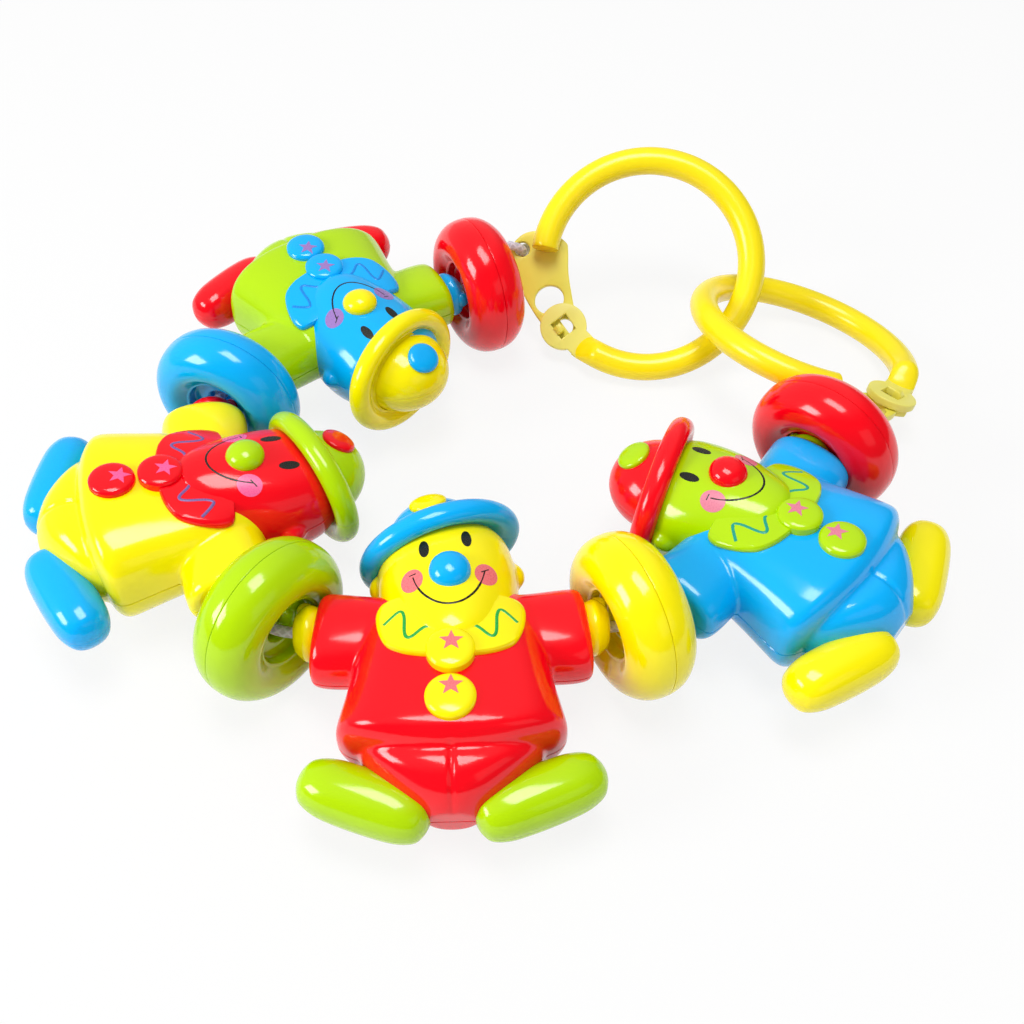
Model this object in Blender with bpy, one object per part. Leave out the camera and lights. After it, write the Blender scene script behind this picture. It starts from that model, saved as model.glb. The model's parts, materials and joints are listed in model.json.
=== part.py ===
"""Stroller mobile: four clown figures and five ring beads on one cord, tied to two linked ring clips.

Metres, +Z up, the garland laid in a horseshoe on the ground. A figure's own frame has X along the
cord, Y from the shoes to the hat and Z out of the belly; the cord's axis is its X axis.
"""

import math

import bmesh
import bpy
from mathutils import Matrix, Vector

MM = 0.001
OBJECT_NAME = "stroller_mobile"

# Clearances that several pieces share
SEAM_GAP = 0.3 * MM
FIT_GAP = 0.3 * MM
CUT_OVERRUN = 4 * MM

# Cord
CORD_DIAMETER = 2.5 * MM
CORD_POINT_STEP = 7.0 * MM
CORD_DROP = 0.35 * MM
KNOT_OVER_HOLE = 1.2 * MM
KNOT_LENGTH = 4.0 * MM
KNOT_STEPS = 10
# Where the cord's two tails leave their beads, beside and above the bead's middle
TAIL_ASIDE = (-2.0 * MM, 3.0 * MM)
TAIL_UP = (2.0 * MM, 4.9 * MM)
TAIL_OVER_HOLE = 3.4 * MM
TAIL_LIFT = 2.5 * MM

# Ring beads: two half shells on a hub
BEAD_DIAMETER = 38 * MM
BEAD_WIDTH = 16.2 * MM
BEAD_EXIT = BEAD_WIDTH / 2 + FIT_GAP
BEAD_HOLE = 7.4 * MM
BEAD_RECESS = 15.8 * MM
BEAD_WEB = 3.0 * MM
BEAD_WALL = 1.7 * MM
BEAD_STEPS = 13
# Outer profile from the rim to the recess edge: share of the radius between them, share of half the width
BEAD_RIM_SHARES = ((1.0, 0.0), (0.90, 0.52), (0.66, 0.90), (0.36, 1.0), (0.0, 0.70))

# Coat and trousers
COAT_WIDTH = 47.0 * MM
COAT_DEPTH = 31.0 * MM
TORSO_TOP = 8.0 * MM
TORSO_LENGTH = 50.5 * MM
COAT_WALL = 2.0 * MM
TORSO_STEPS = 14
CAVITY_STEPS = 8
HEM_BOW = 2.4 * MM
# Down the body: share of its length, of half the coat's width, of half its depth, of the hem's bow
TORSO_SHARES = (
    (0.00, 0.56, 0.40, 0.0),
    (0.10, 0.68, 0.60, 0.0),
    (0.28, 0.80, 0.76, 0.0),
    (0.46, 0.91, 0.88, 0.3),
    (0.62, 1.00, 1.00, 0.8),
    (0.685, 0.97, 0.96, 1.0),
    (0.735, 0.84, 0.76, 1.0),
    (0.775, 0.78, 0.74, 0.8),
    (0.86, 0.60, 0.74, 0.5),
    (0.93, 0.40, 0.60, 0.3),
    (1.00, 0.22, 0.30, 0.0),
)
TORSO_POWER = 2.6
# The hollow inside follows all but the ends
CAVITY_SHARES = TORSO_SHARES[1:9]

# Sleeves
SLEEVE_REACH = 28.8 * MM
SLEEVE_ROOT = 10.0 * MM
SLEEVE_HEIGHT = 18.0 * MM
SLEEVE_DEPTH = 15.0 * MM
SLEEVE_DROP = 1.6 * MM
SLEEVE_SLANT_SHARE = 0.11
SLEEVE_STEPS = 10
# Along the sleeve: share of the way out, of its height, of its depth, of its drop
SLEEVE_SHARES = (
    (0.0, 0.94, 1.05, 2.0),
    (0.50, 1.03, 1.08, 1.8),
    (0.90, 1.00, 1.00, 1.0),
    (1.00, 0.84, 0.82, 1.0),
)

# Hands on their guide tube
HAND_DIAMETER = 12.4 * MM
HAND_OFF_SLEEVE = 1.1 * MM
HAND_START = SLEEVE_REACH + HAND_OFF_SLEEVE
HAND_WIDTH = 4.2 * MM
HAND_STEPS = 10
GUIDE_DIAMETER = 7.0 * MM
GUIDE_ROOM = 2.7 * MM
GUIDE_BORE = CORD_DIAMETER + GUIDE_ROOM
THUMB_SIZE = 3.0 * MM
STRAIGHT_PAST_SLEEVE = 1.5 * MM
CORD_STRAIGHT_HALF = SLEEVE_REACH + STRAIGHT_PAST_SLEEVE
# Along a hand from the sleeve outwards: share of its width, share of its radius
HAND_SHARES = ((0.0, 0.80), (0.25, 1.00), (0.60, 0.80), (1.0, 0.44))

# Head, ears and collar
HEAD_WIDTH = 31.0 * MM
HEAD_DEPTH = 24.0 * MM
HEAD_BOTTOM = -6.5 * MM
HEAD_HEIGHT = 31.5 * MM
HEAD_TILT = math.radians(5.0)
HEAD_WALL = 2.0 * MM
HEAD_STEPS = 12
# Up the head: share of its height, of half its width, of half its depth
HEAD_SHARES = (
    (0.0, 0.42, 0.36),
    (0.16, 0.76, 0.72),
    (0.38, 0.97, 0.96),
    (0.58, 1.00, 1.00),
    (0.80, 0.91, 0.93),
    (1.0, 0.62, 0.66),
)
EAR_DIAMETER = 7.0 * MM
EAR_REACH = 17.0 * MM
EAR_HEIGHT = 12.0 * MM
COLLAR_THICKNESS = 1.3 * MM
COLLAR_FLOOR = 0.2 * MM
COLLAR_HALF_WIDTH = 15.6 * MM
COLLAR_TOP = 6.6 * MM
COLLAR_DROP = 15.4 * MM
COLLAR_TALL = 30.0 * MM
# One lobe's outline from the middle outwards: share of half the width, share of the drop below the top
COLLAR_SHARES = ((0.0, 0.99), (0.30, 1.00), (0.60, 0.94), (0.88, 0.74), (1.0, 0.42), (0.97, 0.10), (0.70, 0.0))
BUTTON_DIAMETER = 11.6 * MM
BUTTON_RISE = 2.6 * MM
BUTTON_DOWN = 21.4 * MM
BUTTON_STEPS = 10
UPPER_BUTTON_DIAMETER = 10.8 * MM
UPPER_BUTTON_DOWN = 9.4 * MM
BUTTON_SINK = 1.2 * MM
# Dome of a button: share of its radius, share of its rise
DOME_SHARES = ((1.0, 0.40), (0.78, 0.80), (0.34, 1.0))

# Nose
NOSE_DIAMETER = 9.6 * MM
NOSE_HEIGHT = 6.4 * MM
NOSE_UP = 8.2 * MM
NOSE_PROUD = 0.3 * MM
NOSE_STEPS = 9
NOSE_RINGS = 5

# Hat: a fat brim, a domed crown and a round disc on its front
BRIM_WIDTH = 38.0 * MM
BRIM_DEPTH = 31.4 * MM
BRIM_TUBE = 5.3 * MM
BRIM_STEPS = 16
BRIM_SIDES = 6
HAT_SHIFT = -2.6 * MM
HAT_UP = 20.9 * MM
HAT_TILT = math.radians(19.0)
CROWN_WIDTH = 24.2 * MM
CROWN_DEPTH = 21.0 * MM
CROWN_HEIGHT = 12.6 * MM
CROWN_WALL = 1.8 * MM
CROWN_STEPS = 12
# Dome of the crown: share of its height, share of its radius
CROWN_SHARES = ((-0.16, 1.04), (0.25, 0.99), (0.60, 0.82), (0.87, 0.50), (1.0, 0.16))
POM_DIAMETER = 9.2 * MM
POM_THICKNESS = 1.7 * MM
POM_UP_SHARE = 0.718
POM_STEPS = 10

# Shoes
SHOE_LENGTH = 27.9 * MM
SHOE_WIDTH = 12.4 * MM
SHOE_DEPTH = 13.2 * MM
SHOE_OUT = 17.6 * MM
SHOE_ABOVE_END = 4.7 * MM
SHOE_DOWN = TORSO_LENGTH - TORSO_TOP - SHOE_ABOVE_END
SHOE_TURN = math.radians(20.5)
SHOE_STEPS = 10
SHOE_GAP = 0.48 * MM
# Along the shoe from heel to toe: share of its length, of its width, of its depth
SHOE_SHARES = (
    (0.0, 0.30, 0.34),
    (0.08, 0.70, 0.74),
    (0.40, 1.00, 1.00),
    (0.76, 0.95, 0.90),
    (0.93, 0.66, 0.62),
    (1.0, 0.30, 0.28),
)

# How the garland lies: each figure's heading, its tip about the cord and the free cord at its two ends
HAND_TO_CORNER = 3.9 * MM
FIGURE_REACH = HAND_START + HAND_WIDTH + HAND_TO_CORNER
CORD_PLAY = 7.0 * MM
FIGURES = (
    ("figure_1", -144.4, 3.9, 0.0, 0.725, ("lime", "blue", "yellow", "red")),
    ("figure_2", -72.7, 1.3, 0.10, 0.195, ("yellow", "red", "lime", "blue")),
    ("figure_3", 2.65, 6.9, 0.745, 0.536, ("red", "yellow", "blue", "lime")),
    ("figure_4", 50.0, 3.4, -0.03, 0.0, ("blue", "lime", "red", "yellow")),
)
START_FIGURE = "figure_3"
START_X = -11.27 * MM
START_Y = -52.02 * MM
BEAD_NAMES = ("bead_red_left", "bead_blue", "bead_lime", "bead_yellow", "bead_red_right")
BEAD_COLOURS = ("red", "blue", "lime", "yellow", "red")
BEAD_SLACK = 1.9 * MM
BEND_SHARES = (0.504, 0.442, 0.533)
BEND_REACH_SHARE = 1 / 2.6
LEAN_SHARE = -0.1
END_BEAD_PAST_REACH = (1.67 * MM, -1.13 * MM)
END_BEAD_ASIDE = (1.54 * MM, -0.48 * MM)
END_BEAD_TURN = (math.radians(-8.7), math.radians(-0.1))
END_BEAD_LEAN = (0.0, math.radians(6.2))

# Ring clips
RING_DIAMETER = 66.2 * MM
RING_TUBE = 7.6 * MM
RING_STEP = math.radians(15.0)
PLATE_THICKNESS = 2.2 * MM
PLATE_STEP = 1.1 * MM
TAB_THICKNESS = 2.1 * MM
TAB_WIDTH = 7.6 * MM
EYE_DIAMETER = 13.4 * MM
EYE_STEPS = 16
EYE_SLOT = 4.8 * MM
HUB_ARC_STEPS = 10
SQUARE_HOLE = 5.2 * MM
PRONG_WIDTH = 1.5 * MM
PRONG_LENGTH = 2.4 * MM
PRONG_LIP = 1.5 * MM
PRONG_CAP = 1.0 * MM
PRONG_SIDE = 0.4 * MM
TAB_END = math.radians(18.0)
CORD_HOLE_ROOM = 1.9 * MM
CORD_HOLE = CORD_DIAMETER + CORD_HOLE_ROOM
KNOT_DIAMETER = CORD_HOLE + KNOT_OVER_HOLE
WINDOW_WIDTH = 8.0 * MM
WINDOW_HEIGHT = 8.6 * MM
HUB_TO_TIP = math.radians(45.0)
HUB_TO_TUBE = math.radians(13.5)
CORD_HOLE_AWAY = 36.2 * MM
TAIL_OVER = CORD_HOLE_AWAY + TAIL_OVER_HOLE
WINDOW_BACK = math.radians(18.0)
# Plate outline: share of the ring's middle radius, share of the angle from the hub to the arm's tip
PLATE_SHARES = (
    (0.82, 0.10), (0.77, 0.42), (0.765, 0.75), (0.79, 1.10), (0.83, 1.20), (0.98, 1.26), (1.13, 1.23),
    (1.26, 1.15), (1.34, 1.02), (1.33, 0.88), (1.25, 0.60), (1.18, 0.28), (1.14, 0.10),
)
# Each clip: centre of the arm, the way its front faces, the angle of its hub and how far the arm stands open
CLIPS = (
    ("clip_left", (38.36 * MM, 72.13 * MM, 23.9 * MM), (-0.075, -0.651, 0.755), math.radians(-143.3), 0.0),
    ("clip_right", (81.61 * MM, 52.28 * MM, 15.0 * MM), (0.254, 0.255, 0.933), math.radians(-39.9), 0.0),
)

COLOURS = {
    "red": (0.85, 0.003, 0.012),
    "lime": (0.47, 0.72, 0.003),
    "yellow": (0.95, 0.80, 0.003),
    "blue": (0.003, 0.42, 0.95),
    "clip_yellow": (0.90, 0.72, 0.02),
    "cord_white": (0.80, 0.80, 0.88),
}

# Which of a figure's four colours each piece takes: coat, trim, hat, shoes
PIECE_COLOURS = {
    "coat_front": 0,
    "coat_back": 0,
    "head_front": 1,
    "head_back": 1,
    "hat": 2,
    "hat_disc": 1,
    "nose": 2,
    "belly_button": 1,
    "hands": 1,
    "shoe_left": 3,
    "shoe_right": 3,
}

PARTS = bpy.data.collections.new(OBJECT_NAME)
CUTTERS = bpy.data.collections.new(OBJECT_NAME + "_cutters")


# Scene, materials and small tools


def clear_scene():
    """Start from an empty scene with the two collections in it."""
    for obj in list(bpy.data.objects):
        bpy.data.objects.remove(obj, do_unlink=True)
    for collection in (PARTS, CUTTERS):
        bpy.context.scene.collection.children.link(collection)


def make_material(name, colour):
    """A glossy moulded plastic, or the cord's yarn."""
    material = bpy.data.materials.new(name)
    material.use_nodes = True
    shader = material.node_tree.nodes["Principled BSDF"]
    shader.inputs["Base Color"].default_value = (*COLOURS[colour], 1.0)
    shader.inputs["Roughness"].default_value = 0.8 if colour == "cord_white" else 0.2
    shader.inputs["Metallic"].default_value = 0.0
    return material


def mesh_object(name, bm, collection=None):
    """Turn a bmesh into an object with outward faces."""
    bmesh.ops.recalc_face_normals(bm, faces=bm.faces)
    mesh = bpy.data.meshes.new(name)
    bm.to_mesh(mesh)
    bm.free()
    mesh.shade_smooth()
    mesh.set_sharp_from_angle(angle=math.radians(40.0))
    obj = bpy.data.objects.new(name, mesh)
    (collection or CUTTERS).objects.link(obj)
    if collection is None:
        obj.hide_render = True
        obj.display_type = "WIRE"
    return obj


def settle(obj):
    """Replace an object's mesh with its evaluated one and drop the modifiers."""
    graph = bpy.context.evaluated_depsgraph_get()
    mesh = bpy.data.meshes.new_from_object(obj.evaluated_get(graph))
    obj.modifiers.clear()
    obj.data = mesh
    return obj


def combine(obj, other, operation):
    """Boolean one object with another, which is used up."""
    modifier = obj.modifiers.new(operation.lower(), "BOOLEAN")
    modifier.object = other
    modifier.operation = operation
    modifier.solver = "EXACT"
    settle(obj)
    bpy.data.objects.remove(other, do_unlink=True)
    return obj


def cut(obj, other):
    return combine(obj, other, "DIFFERENCE")


def join(obj, other):
    return combine(obj, other, "UNION")


def keep(obj, other):
    return combine(obj, other, "INTERSECT")


def twin(obj, name):
    """A copy with its own mesh."""
    other = obj.copy()
    other.data = obj.data.copy()
    other.name = name
    CUTTERS.objects.link(other)
    return other


def transform(obj, matrix):
    """Move the mesh itself, so that the object stays at its frame's origin."""
    obj.data.transform(matrix)
    if matrix.determinant() < 0:
        obj.data.flip_normals()
    return obj


def oval(half_width, half_depth, power, steps):
    """Points round a superellipse."""
    points = []
    for step in range(steps):
        turn = 2 * math.pi * (step + 0.5) / steps
        c, s = math.cos(turn), math.sin(turn)
        x = math.copysign(abs(c) ** (2 / power), c) * half_width
        z = math.copysign(abs(s) ** (2 / power), s) * half_depth
        points.append((x, z))
    return points


def loft(rings, name):
    """Skin a run of rings of equal counts and close both ends with a flat cap."""
    bm = bmesh.new()
    rows = [[bm.verts.new(point) for point in ring] for ring in rings]
    for lower, upper in zip(rows, rows[1:]):
        for i in range(len(lower)):
            j = (i + 1) % len(lower)
            bm.faces.new((lower[i], lower[j], upper[j], upper[i]))
    bm.faces.new(rows[0])
    bm.faces.new(rows[-1])
    return mesh_object(name, bm)


def box(size, centre, name):
    """A cutter block."""
    bm = bmesh.new()
    matrix = Matrix.Translation(centre) @ Matrix.Diagonal((*size, 1.0))
    bmesh.ops.create_cube(bm, size=1.0, matrix=matrix)
    return mesh_object(name, bm)


def rod(diameter, length, matrix, steps, name, tip_diameter=None):
    """A cylinder or cone about the matrix's Z axis."""
    bm = bmesh.new()
    bmesh.ops.create_cone(
        bm,
        cap_ends=True,
        segments=steps,
        radius1=diameter / 2,
        radius2=(tip_diameter or diameter) / 2,
        depth=length,
        matrix=matrix,
    )
    return mesh_object(name, bm)


def lathe(profile, steps, matrix, name):
    """Turn a closed profile of radius and height about the matrix's Z axis."""
    bm = bmesh.new()
    verts = [bm.verts.new((radius, 0.0, height)) for radius, height in profile]
    edges = [bm.edges.new((verts[i], verts[(i + 1) % len(verts)])) for i in range(len(verts))]
    bmesh.ops.spin(
        bm,
        geom=verts + edges,
        axis=(0, 0, 1),
        cent=(0, 0, 0),
        angle=2 * math.pi,
        steps=steps,
        use_merge=True,
    )
    bm.transform(matrix)
    return mesh_object(name, bm)


def dome(diameter, rise, sink, matrix, steps, name):
    """A domed button on the matrix's XY plane, sunk below it."""
    radius = diameter / 2
    rings = [[(radius * math.cos(a), radius * math.sin(a), -sink) for a in turns(steps)]]
    for out, up in DOME_SHARES:
        rings.append([(radius * out * math.cos(a), radius * out * math.sin(a), rise * up) for a in turns(steps)])
    return transform(loft(rings, name), matrix)


def turns(steps):
    return [2 * math.pi * step / steps for step in range(steps)]


def ball(size, centre, steps, rings, name):
    """An ellipsoid."""
    bm = bmesh.new()
    matrix = Matrix.Translation(centre) @ Matrix.Diagonal((size[0] / 2, size[1] / 2, size[2] / 2, 1.0))
    bmesh.ops.create_uvsphere(bm, u_segments=steps, v_segments=rings, radius=1.0, matrix=matrix)
    return mesh_object(name, bm)


def halves(obj, name):
    """Part a solid at its seam plane into a front and a back solid, a seam gap apart."""
    reach = BEAD_DIAMETER + COAT_WIDTH + TORSO_LENGTH
    pieces = []
    for side, label in ((1, "front"), (-1, "back")):
        half = twin(obj, name + "_" + label)
        block = box((reach, reach, reach), (0, 0, -side * (reach - SEAM_GAP) / 2), "seam_block")
        pieces.append(cut(half, block))
    return pieces


# One figure, in its own frame


def torso_solid(grow, steps, shares=TORSO_SHARES):
    """Coat and trousers as one lofted body, each section grown by the same amount."""
    rings = []
    for along, wide, deep, bow in shares:
        half_width = COAT_WIDTH / 2 * wide + grow
        half_depth = COAT_DEPTH / 2 * deep + grow
        y = TORSO_TOP - TORSO_LENGTH * along
        ring = []
        for x, z in oval(half_width, half_depth, TORSO_POWER, steps):
            ring.append((x, y - HEM_BOW * bow * (1 - (x / half_width) ** 2), z))
        rings.append(ring)
    if grow > 0:
        rings[-1] = [(x, y - grow, z) for x, y, z in rings[-1]]
    return loft(rings, "torso_form")


def sleeve_solid(side, grow):
    """A short thick sleeve with a slanted, rounded end."""
    rings = []
    for out, high, deep, drop in SLEEVE_SHARES:
        x = SLEEVE_ROOT + (SLEEVE_REACH - SLEEVE_ROOT) * out
        ring = []
        for y, z in oval(SLEEVE_HEIGHT / 2 * high + grow, SLEEVE_DEPTH / 2 * deep + grow, 2.2, SLEEVE_STEPS):
            ring.append((side * (x - SLEEVE_SLANT_SHARE * y), y - SLEEVE_DROP * drop, z))
        rings.append(ring)
    return loft(rings, "sleeve_form")


def head_solid(grow, steps):
    """The head as a lofted egg, tilted with its hat."""
    rings = []
    for up, wide, deep in HEAD_SHARES:
        y = HEAD_BOTTOM + HEAD_HEIGHT * up
        ring = oval(HEAD_WIDTH / 2 * wide + grow, HEAD_DEPTH / 2 * deep + grow, 2.15, steps)
        rings.append([(x, y, z) for x, z in ring])
    rings[0] = [(x, y - grow, z) for x, y, z in rings[0]]
    rings[-1] = [(x, y + grow, z) for x, y, z in rings[-1]]
    form = loft(rings, "head_form")
    return transform(form, Matrix.Rotation(HEAD_TILT, 4, "Z"))


def collar_prism(grow):
    """The two collar lobes and the upper button's disc as an upright block."""
    points = []
    for out, down in COLLAR_SHARES:
        points.append((COLLAR_HALF_WIDTH * out, COLLAR_TOP - COLLAR_DROP * down))
    outline = points + [(-x, y) for x, y in reversed(points) if x > 0]
    middle = Vector((0.0, COLLAR_TOP - COLLAR_DROP / 2, 0.0))
    rings = []
    for z in (COLLAR_FLOOR, COLLAR_TALL):
        ring = []
        for x, y in outline:
            point = Vector((x, y, 0.0))
            point += (point - middle).normalized() * grow
            ring.append((point.x, point.y, z))
        rings.append(ring)
    return loft(rings, "collar_outline")


def torso_depth(y):
    """Front surface of the coat on the middle line, between the sections beside it."""
    share = (TORSO_TOP - y) / TORSO_LENGTH
    for (a0, _, d0, b0), (a1, _, d1, b1) in zip(TORSO_SHARES, TORSO_SHARES[1:]):
        low = a0 + HEM_BOW * b0 / TORSO_LENGTH
        high = a1 + HEM_BOW * b1 / TORSO_LENGTH
        if low <= share <= high:
            t = (share - low) / (high - low)
            return COAT_DEPTH / 2 * (d0 + (d1 - d0) * t)
    return COAT_DEPTH / 2


def coat_tilt(y):
    """Slope of the coat's front at a height on the middle line."""
    step = TORSO_LENGTH / 40
    return math.atan2(torso_depth(y - step) - torso_depth(y + step), 2 * step)


def on_coat(y, lift):
    """A frame standing on the coat's front, its Z axis square to the cloth."""
    place = Matrix.Translation((0.0, y, torso_depth(y)))
    return place @ Matrix.Rotation(coat_tilt(y) * -1, 4, "X") @ Matrix.Translation((0.0, 0.0, lift))


def make_torso():
    """Front and back shells of coat, sleeves and trousers."""
    body = torso_solid(0.0, TORSO_STEPS)
    for side in (1, -1):
        join(body, sleeve_solid(side, 0.0))
    cut(body, torso_solid(-COAT_WALL, CAVITY_STEPS, CAVITY_SHARES))
    along_x = Matrix.Rotation(math.pi / 2, 4, "Y")
    bore = GUIDE_DIAMETER + 2 * FIT_GAP
    cut(body, rod(bore, 2 * (SLEEVE_REACH + CUT_OVERRUN), along_x, 8, "guide_bore"))
    cut(body, head_solid(FIT_GAP, HEAD_STEPS))
    return halves(body, "coat")


def make_head():
    """Front shell with collar, and back shell."""
    solid = head_solid(0.0, HEAD_STEPS)
    tilt = Matrix.Rotation(HEAD_TILT, 4, "Z")
    for side in (1, -1):
        place = tilt @ Vector((side * (EAR_REACH - EAR_DIAMETER / 2), EAR_HEIGHT, 0.0))
        size = (EAR_DIAMETER, EAR_DIAMETER, EAR_DIAMETER * 0.8)
        join(solid, ball(size, place, 8, 5, "ear"))
    cavity = head_solid(-HEAD_WALL, CAVITY_STEPS)
    cut(solid, cavity)
    bore = GUIDE_DIAMETER + 2 * FIT_GAP
    cut(solid, rod(bore, COAT_WIDTH, Matrix.Rotation(math.pi / 2, 4, "Y"), 8, "guide_bore"))
    front, back = halves(solid, "head")
    collar = torso_solid(COLLAR_THICKNESS, TORSO_STEPS)
    keep(collar, collar_prism(0.0))
    disc = dome(
        UPPER_BUTTON_DIAMETER,
        BUTTON_RISE,
        BUTTON_SINK,
        on_coat(-UPPER_BUTTON_DOWN, COLLAR_THICKNESS / 2),
        BUTTON_STEPS,
        "upper_button",
    )
    join(collar, disc)
    cut(collar, torso_solid(FIT_GAP, TORSO_STEPS))
    for side in (1, -1):
        cut(collar, sleeve_solid(side, FIT_GAP))
    join(front, collar)
    return front, back


def make_figure():
    """Every piece of one figure, by name."""
    pieces = {}
    pieces["coat_front"], pieces["coat_back"] = make_torso()
    pieces["head_front"], pieces["head_back"] = make_head()
    pieces["hat"] = make_hat()
    pieces["hat_disc"] = make_hat_disc()
    pieces["nose"] = make_nose()
    pieces["belly_button"] = make_belly_button()
    pieces["hands"] = make_hands()
    for side, label in ((-1, "left"), (1, "right")):
        pieces["shoe_" + label] = make_shoe(side)
    return pieces


def hat_frame():
    """The brim's plane: X across, Y up through the crown, Z to the front."""
    return Matrix.Translation((HAT_SHIFT, HAT_UP, 0.0)) @ Matrix.Rotation(HAT_TILT, 4, "Z")


def crown_solid(shrink, steps):
    """The crown's dome in the hat's frame."""
    rings = []
    for up, wide in CROWN_SHARES:
        half_width = (CROWN_WIDTH / 2 - shrink) * wide
        half_depth = (CROWN_DEPTH / 2 - shrink) * wide
        y = (CROWN_HEIGHT - shrink) * up
        rings.append([(x, y, z) for x, z in oval(half_width, half_depth, 2.0, steps)])
    return loft(rings, "crown_form")


def make_hat():
    """Brim and crown in one, hollow over the head."""
    half_tube = BRIM_TUBE / 2
    bm = bmesh.new()
    rows = []
    for turn in turns(BRIM_STEPS):
        row = []
        for side in turns(BRIM_SIDES):
            out = half_tube * (math.cos(side) - 1)
            x = (BRIM_WIDTH / 2 + out) * math.cos(turn)
            z = (BRIM_DEPTH / 2 + out) * math.sin(turn)
            row.append(bm.verts.new((x, half_tube * math.sin(side), z)))
        rows.append(row)
    for i, row in enumerate(rows):
        other = rows[(i + 1) % BRIM_STEPS]
        for k in range(BRIM_SIDES):
            m = (k + 1) % BRIM_SIDES
            bm.faces.new((row[k], row[m], other[m], other[k]))
    hat = mesh_object("hat", bm)
    join(hat, brim_web())
    join(hat, crown_solid(0.0, CROWN_STEPS))
    cut(hat, crown_solid(CROWN_WALL, CAVITY_STEPS))
    transform(hat, hat_frame())
    cut(hat, head_solid(FIT_GAP, HEAD_STEPS))
    return hat


def brim_web():
    """The web that fills the brim out to its tube."""
    web = BRIM_TUBE / 2
    half_width = (BRIM_WIDTH - BRIM_TUBE) / 2
    half_depth = (BRIM_DEPTH - BRIM_TUBE) / 2
    rings = []
    for y in (-web / 2, web / 2):
        rings.append([(x, y, z) for x, z in oval(half_width, half_depth, 2.0, BRIM_STEPS)])
    return loft(rings, "brim_web_form")


def make_hat_disc():
    """The round disc that sits on the crown's front."""
    forward = CROWN_DEPTH / 2 * math.sqrt(1 - POM_UP_SHARE**2)
    normal = Vector((0.0, POM_UP_SHARE / CROWN_HEIGHT, forward / (CROWN_DEPTH / 2) ** 2)).normalized()
    turn = Vector((0.0, 0.0, 1.0)).rotation_difference(normal).to_matrix().to_4x4()
    place = hat_frame() @ Matrix.Translation((0.0, CROWN_HEIGHT * POM_UP_SHARE, forward)) @ turn
    disc = dome(POM_DIAMETER, POM_THICKNESS, BUTTON_SINK, place, POM_STEPS, "hat_disc")
    grown = crown_solid(-FIT_GAP, CROWN_STEPS)
    return cut(disc, transform(grown, hat_frame()))


def make_nose():
    """A flattened ball on the middle of the face."""
    centre = (0.0, NOSE_UP, HEAD_DEPTH / 2 + NOSE_PROUD)
    nose = ball((NOSE_DIAMETER, NOSE_DIAMETER, NOSE_HEIGHT), centre, NOSE_STEPS, NOSE_RINGS, "nose")
    return cut(nose, head_solid(FIT_GAP, HEAD_STEPS))


def make_belly_button():
    """The domed button low on the coat."""
    place = on_coat(-BUTTON_DOWN, 0.0)
    button = dome(BUTTON_DIAMETER, BUTTON_RISE, BUTTON_SINK, place, BUTTON_STEPS, "belly_button")
    return cut(button, torso_solid(FIT_GAP, TORSO_STEPS))


def make_hands():
    """Two hands and the guide tube between them, bored for the cord."""
    along_x = Matrix.Rotation(math.pi / 2, 4, "Y")
    inner = HAND_START
    guide = rod(GUIDE_DIAMETER, 2 * (inner + HAND_WIDTH / 2), along_x, 8, "hands")
    reach = 2 * (inner + HAND_WIDTH)
    for side in (1, -1):
        rings = []
        for out, wide in HAND_SHARES:
            x = side * (inner + HAND_WIDTH * out)
            ring = oval(HAND_DIAMETER / 2 * wide, HAND_DIAMETER / 2 * wide, 2.0, HAND_STEPS)
            rings.append([(x, y, z) for y, z in ring])
        hand = loft(rings, "hand")
        top = (side * (inner + THUMB_SIZE / 2), HAND_DIAMETER / 2 - THUMB_SIZE / 4, THUMB_SIZE / 3)
        join(hand, ball((THUMB_SIZE, THUMB_SIZE, THUMB_SIZE), top, 6, 4, "thumb"))
        join(guide, hand)
    cut(guide, rod(GUIDE_BORE, reach + CUT_OVERRUN, along_x, 8, "cord_bore"))
    return guide


def make_shoe(side):
    """A long rounded shoe against the trouser leg."""
    rings = []
    for along, wide, deep in SHOE_SHARES:
        x = SHOE_LENGTH * (along - 0.5)
        ring = oval(SHOE_WIDTH / 2 * wide, SHOE_DEPTH / 2 * deep, 2.3, SHOE_STEPS)
        rings.append([(x, y, z) for y, z in ring])
    shoe = loft(rings, "shoe")
    place = Matrix.Translation((SHOE_OUT, -SHOE_DOWN, 0.0)) @ Matrix.Rotation(SHOE_TURN, 4, "Z")
    if side < 0:
        place = Matrix.Diagonal((-1.0, 1.0, 1.0, 1.0)) @ place
    transform(shoe, place)
    return cut(shoe, torso_solid(SHOE_GAP, TORSO_STEPS))


# The garland's layout


def heading(degrees_value):
    angle = math.radians(degrees_value)
    return Vector((math.cos(angle), math.sin(angle), 0.0))


def cord_height():
    return BEAD_DIAMETER / 2 - CORD_DROP


def figure_places():
    """Each figure's place on the cord, from the start figure out to both ends."""
    first = [row[0] for row in FIGURES].index(START_FIGURE)
    places = {first: Vector((START_X, START_Y, cord_height()))}
    for i in range(first, len(FIGURES) - 1):
        here, there = FIGURES[i], FIGURES[i + 1]
        corner = places[i] + heading(here[1]) * (FIGURE_REACH + CORD_PLAY * here[4])
        places[i + 1] = corner + heading(there[1]) * (FIGURE_REACH + CORD_PLAY * there[3])
    for i in range(first, 0, -1):
        here, there = FIGURES[i], FIGURES[i - 1]
        corner = places[i] - heading(here[1]) * (FIGURE_REACH + CORD_PLAY * here[3])
        places[i - 1] = corner - heading(there[1]) * (FIGURE_REACH + CORD_PLAY * there[4])
    return [places[i] for i in range(len(FIGURES))]


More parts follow.
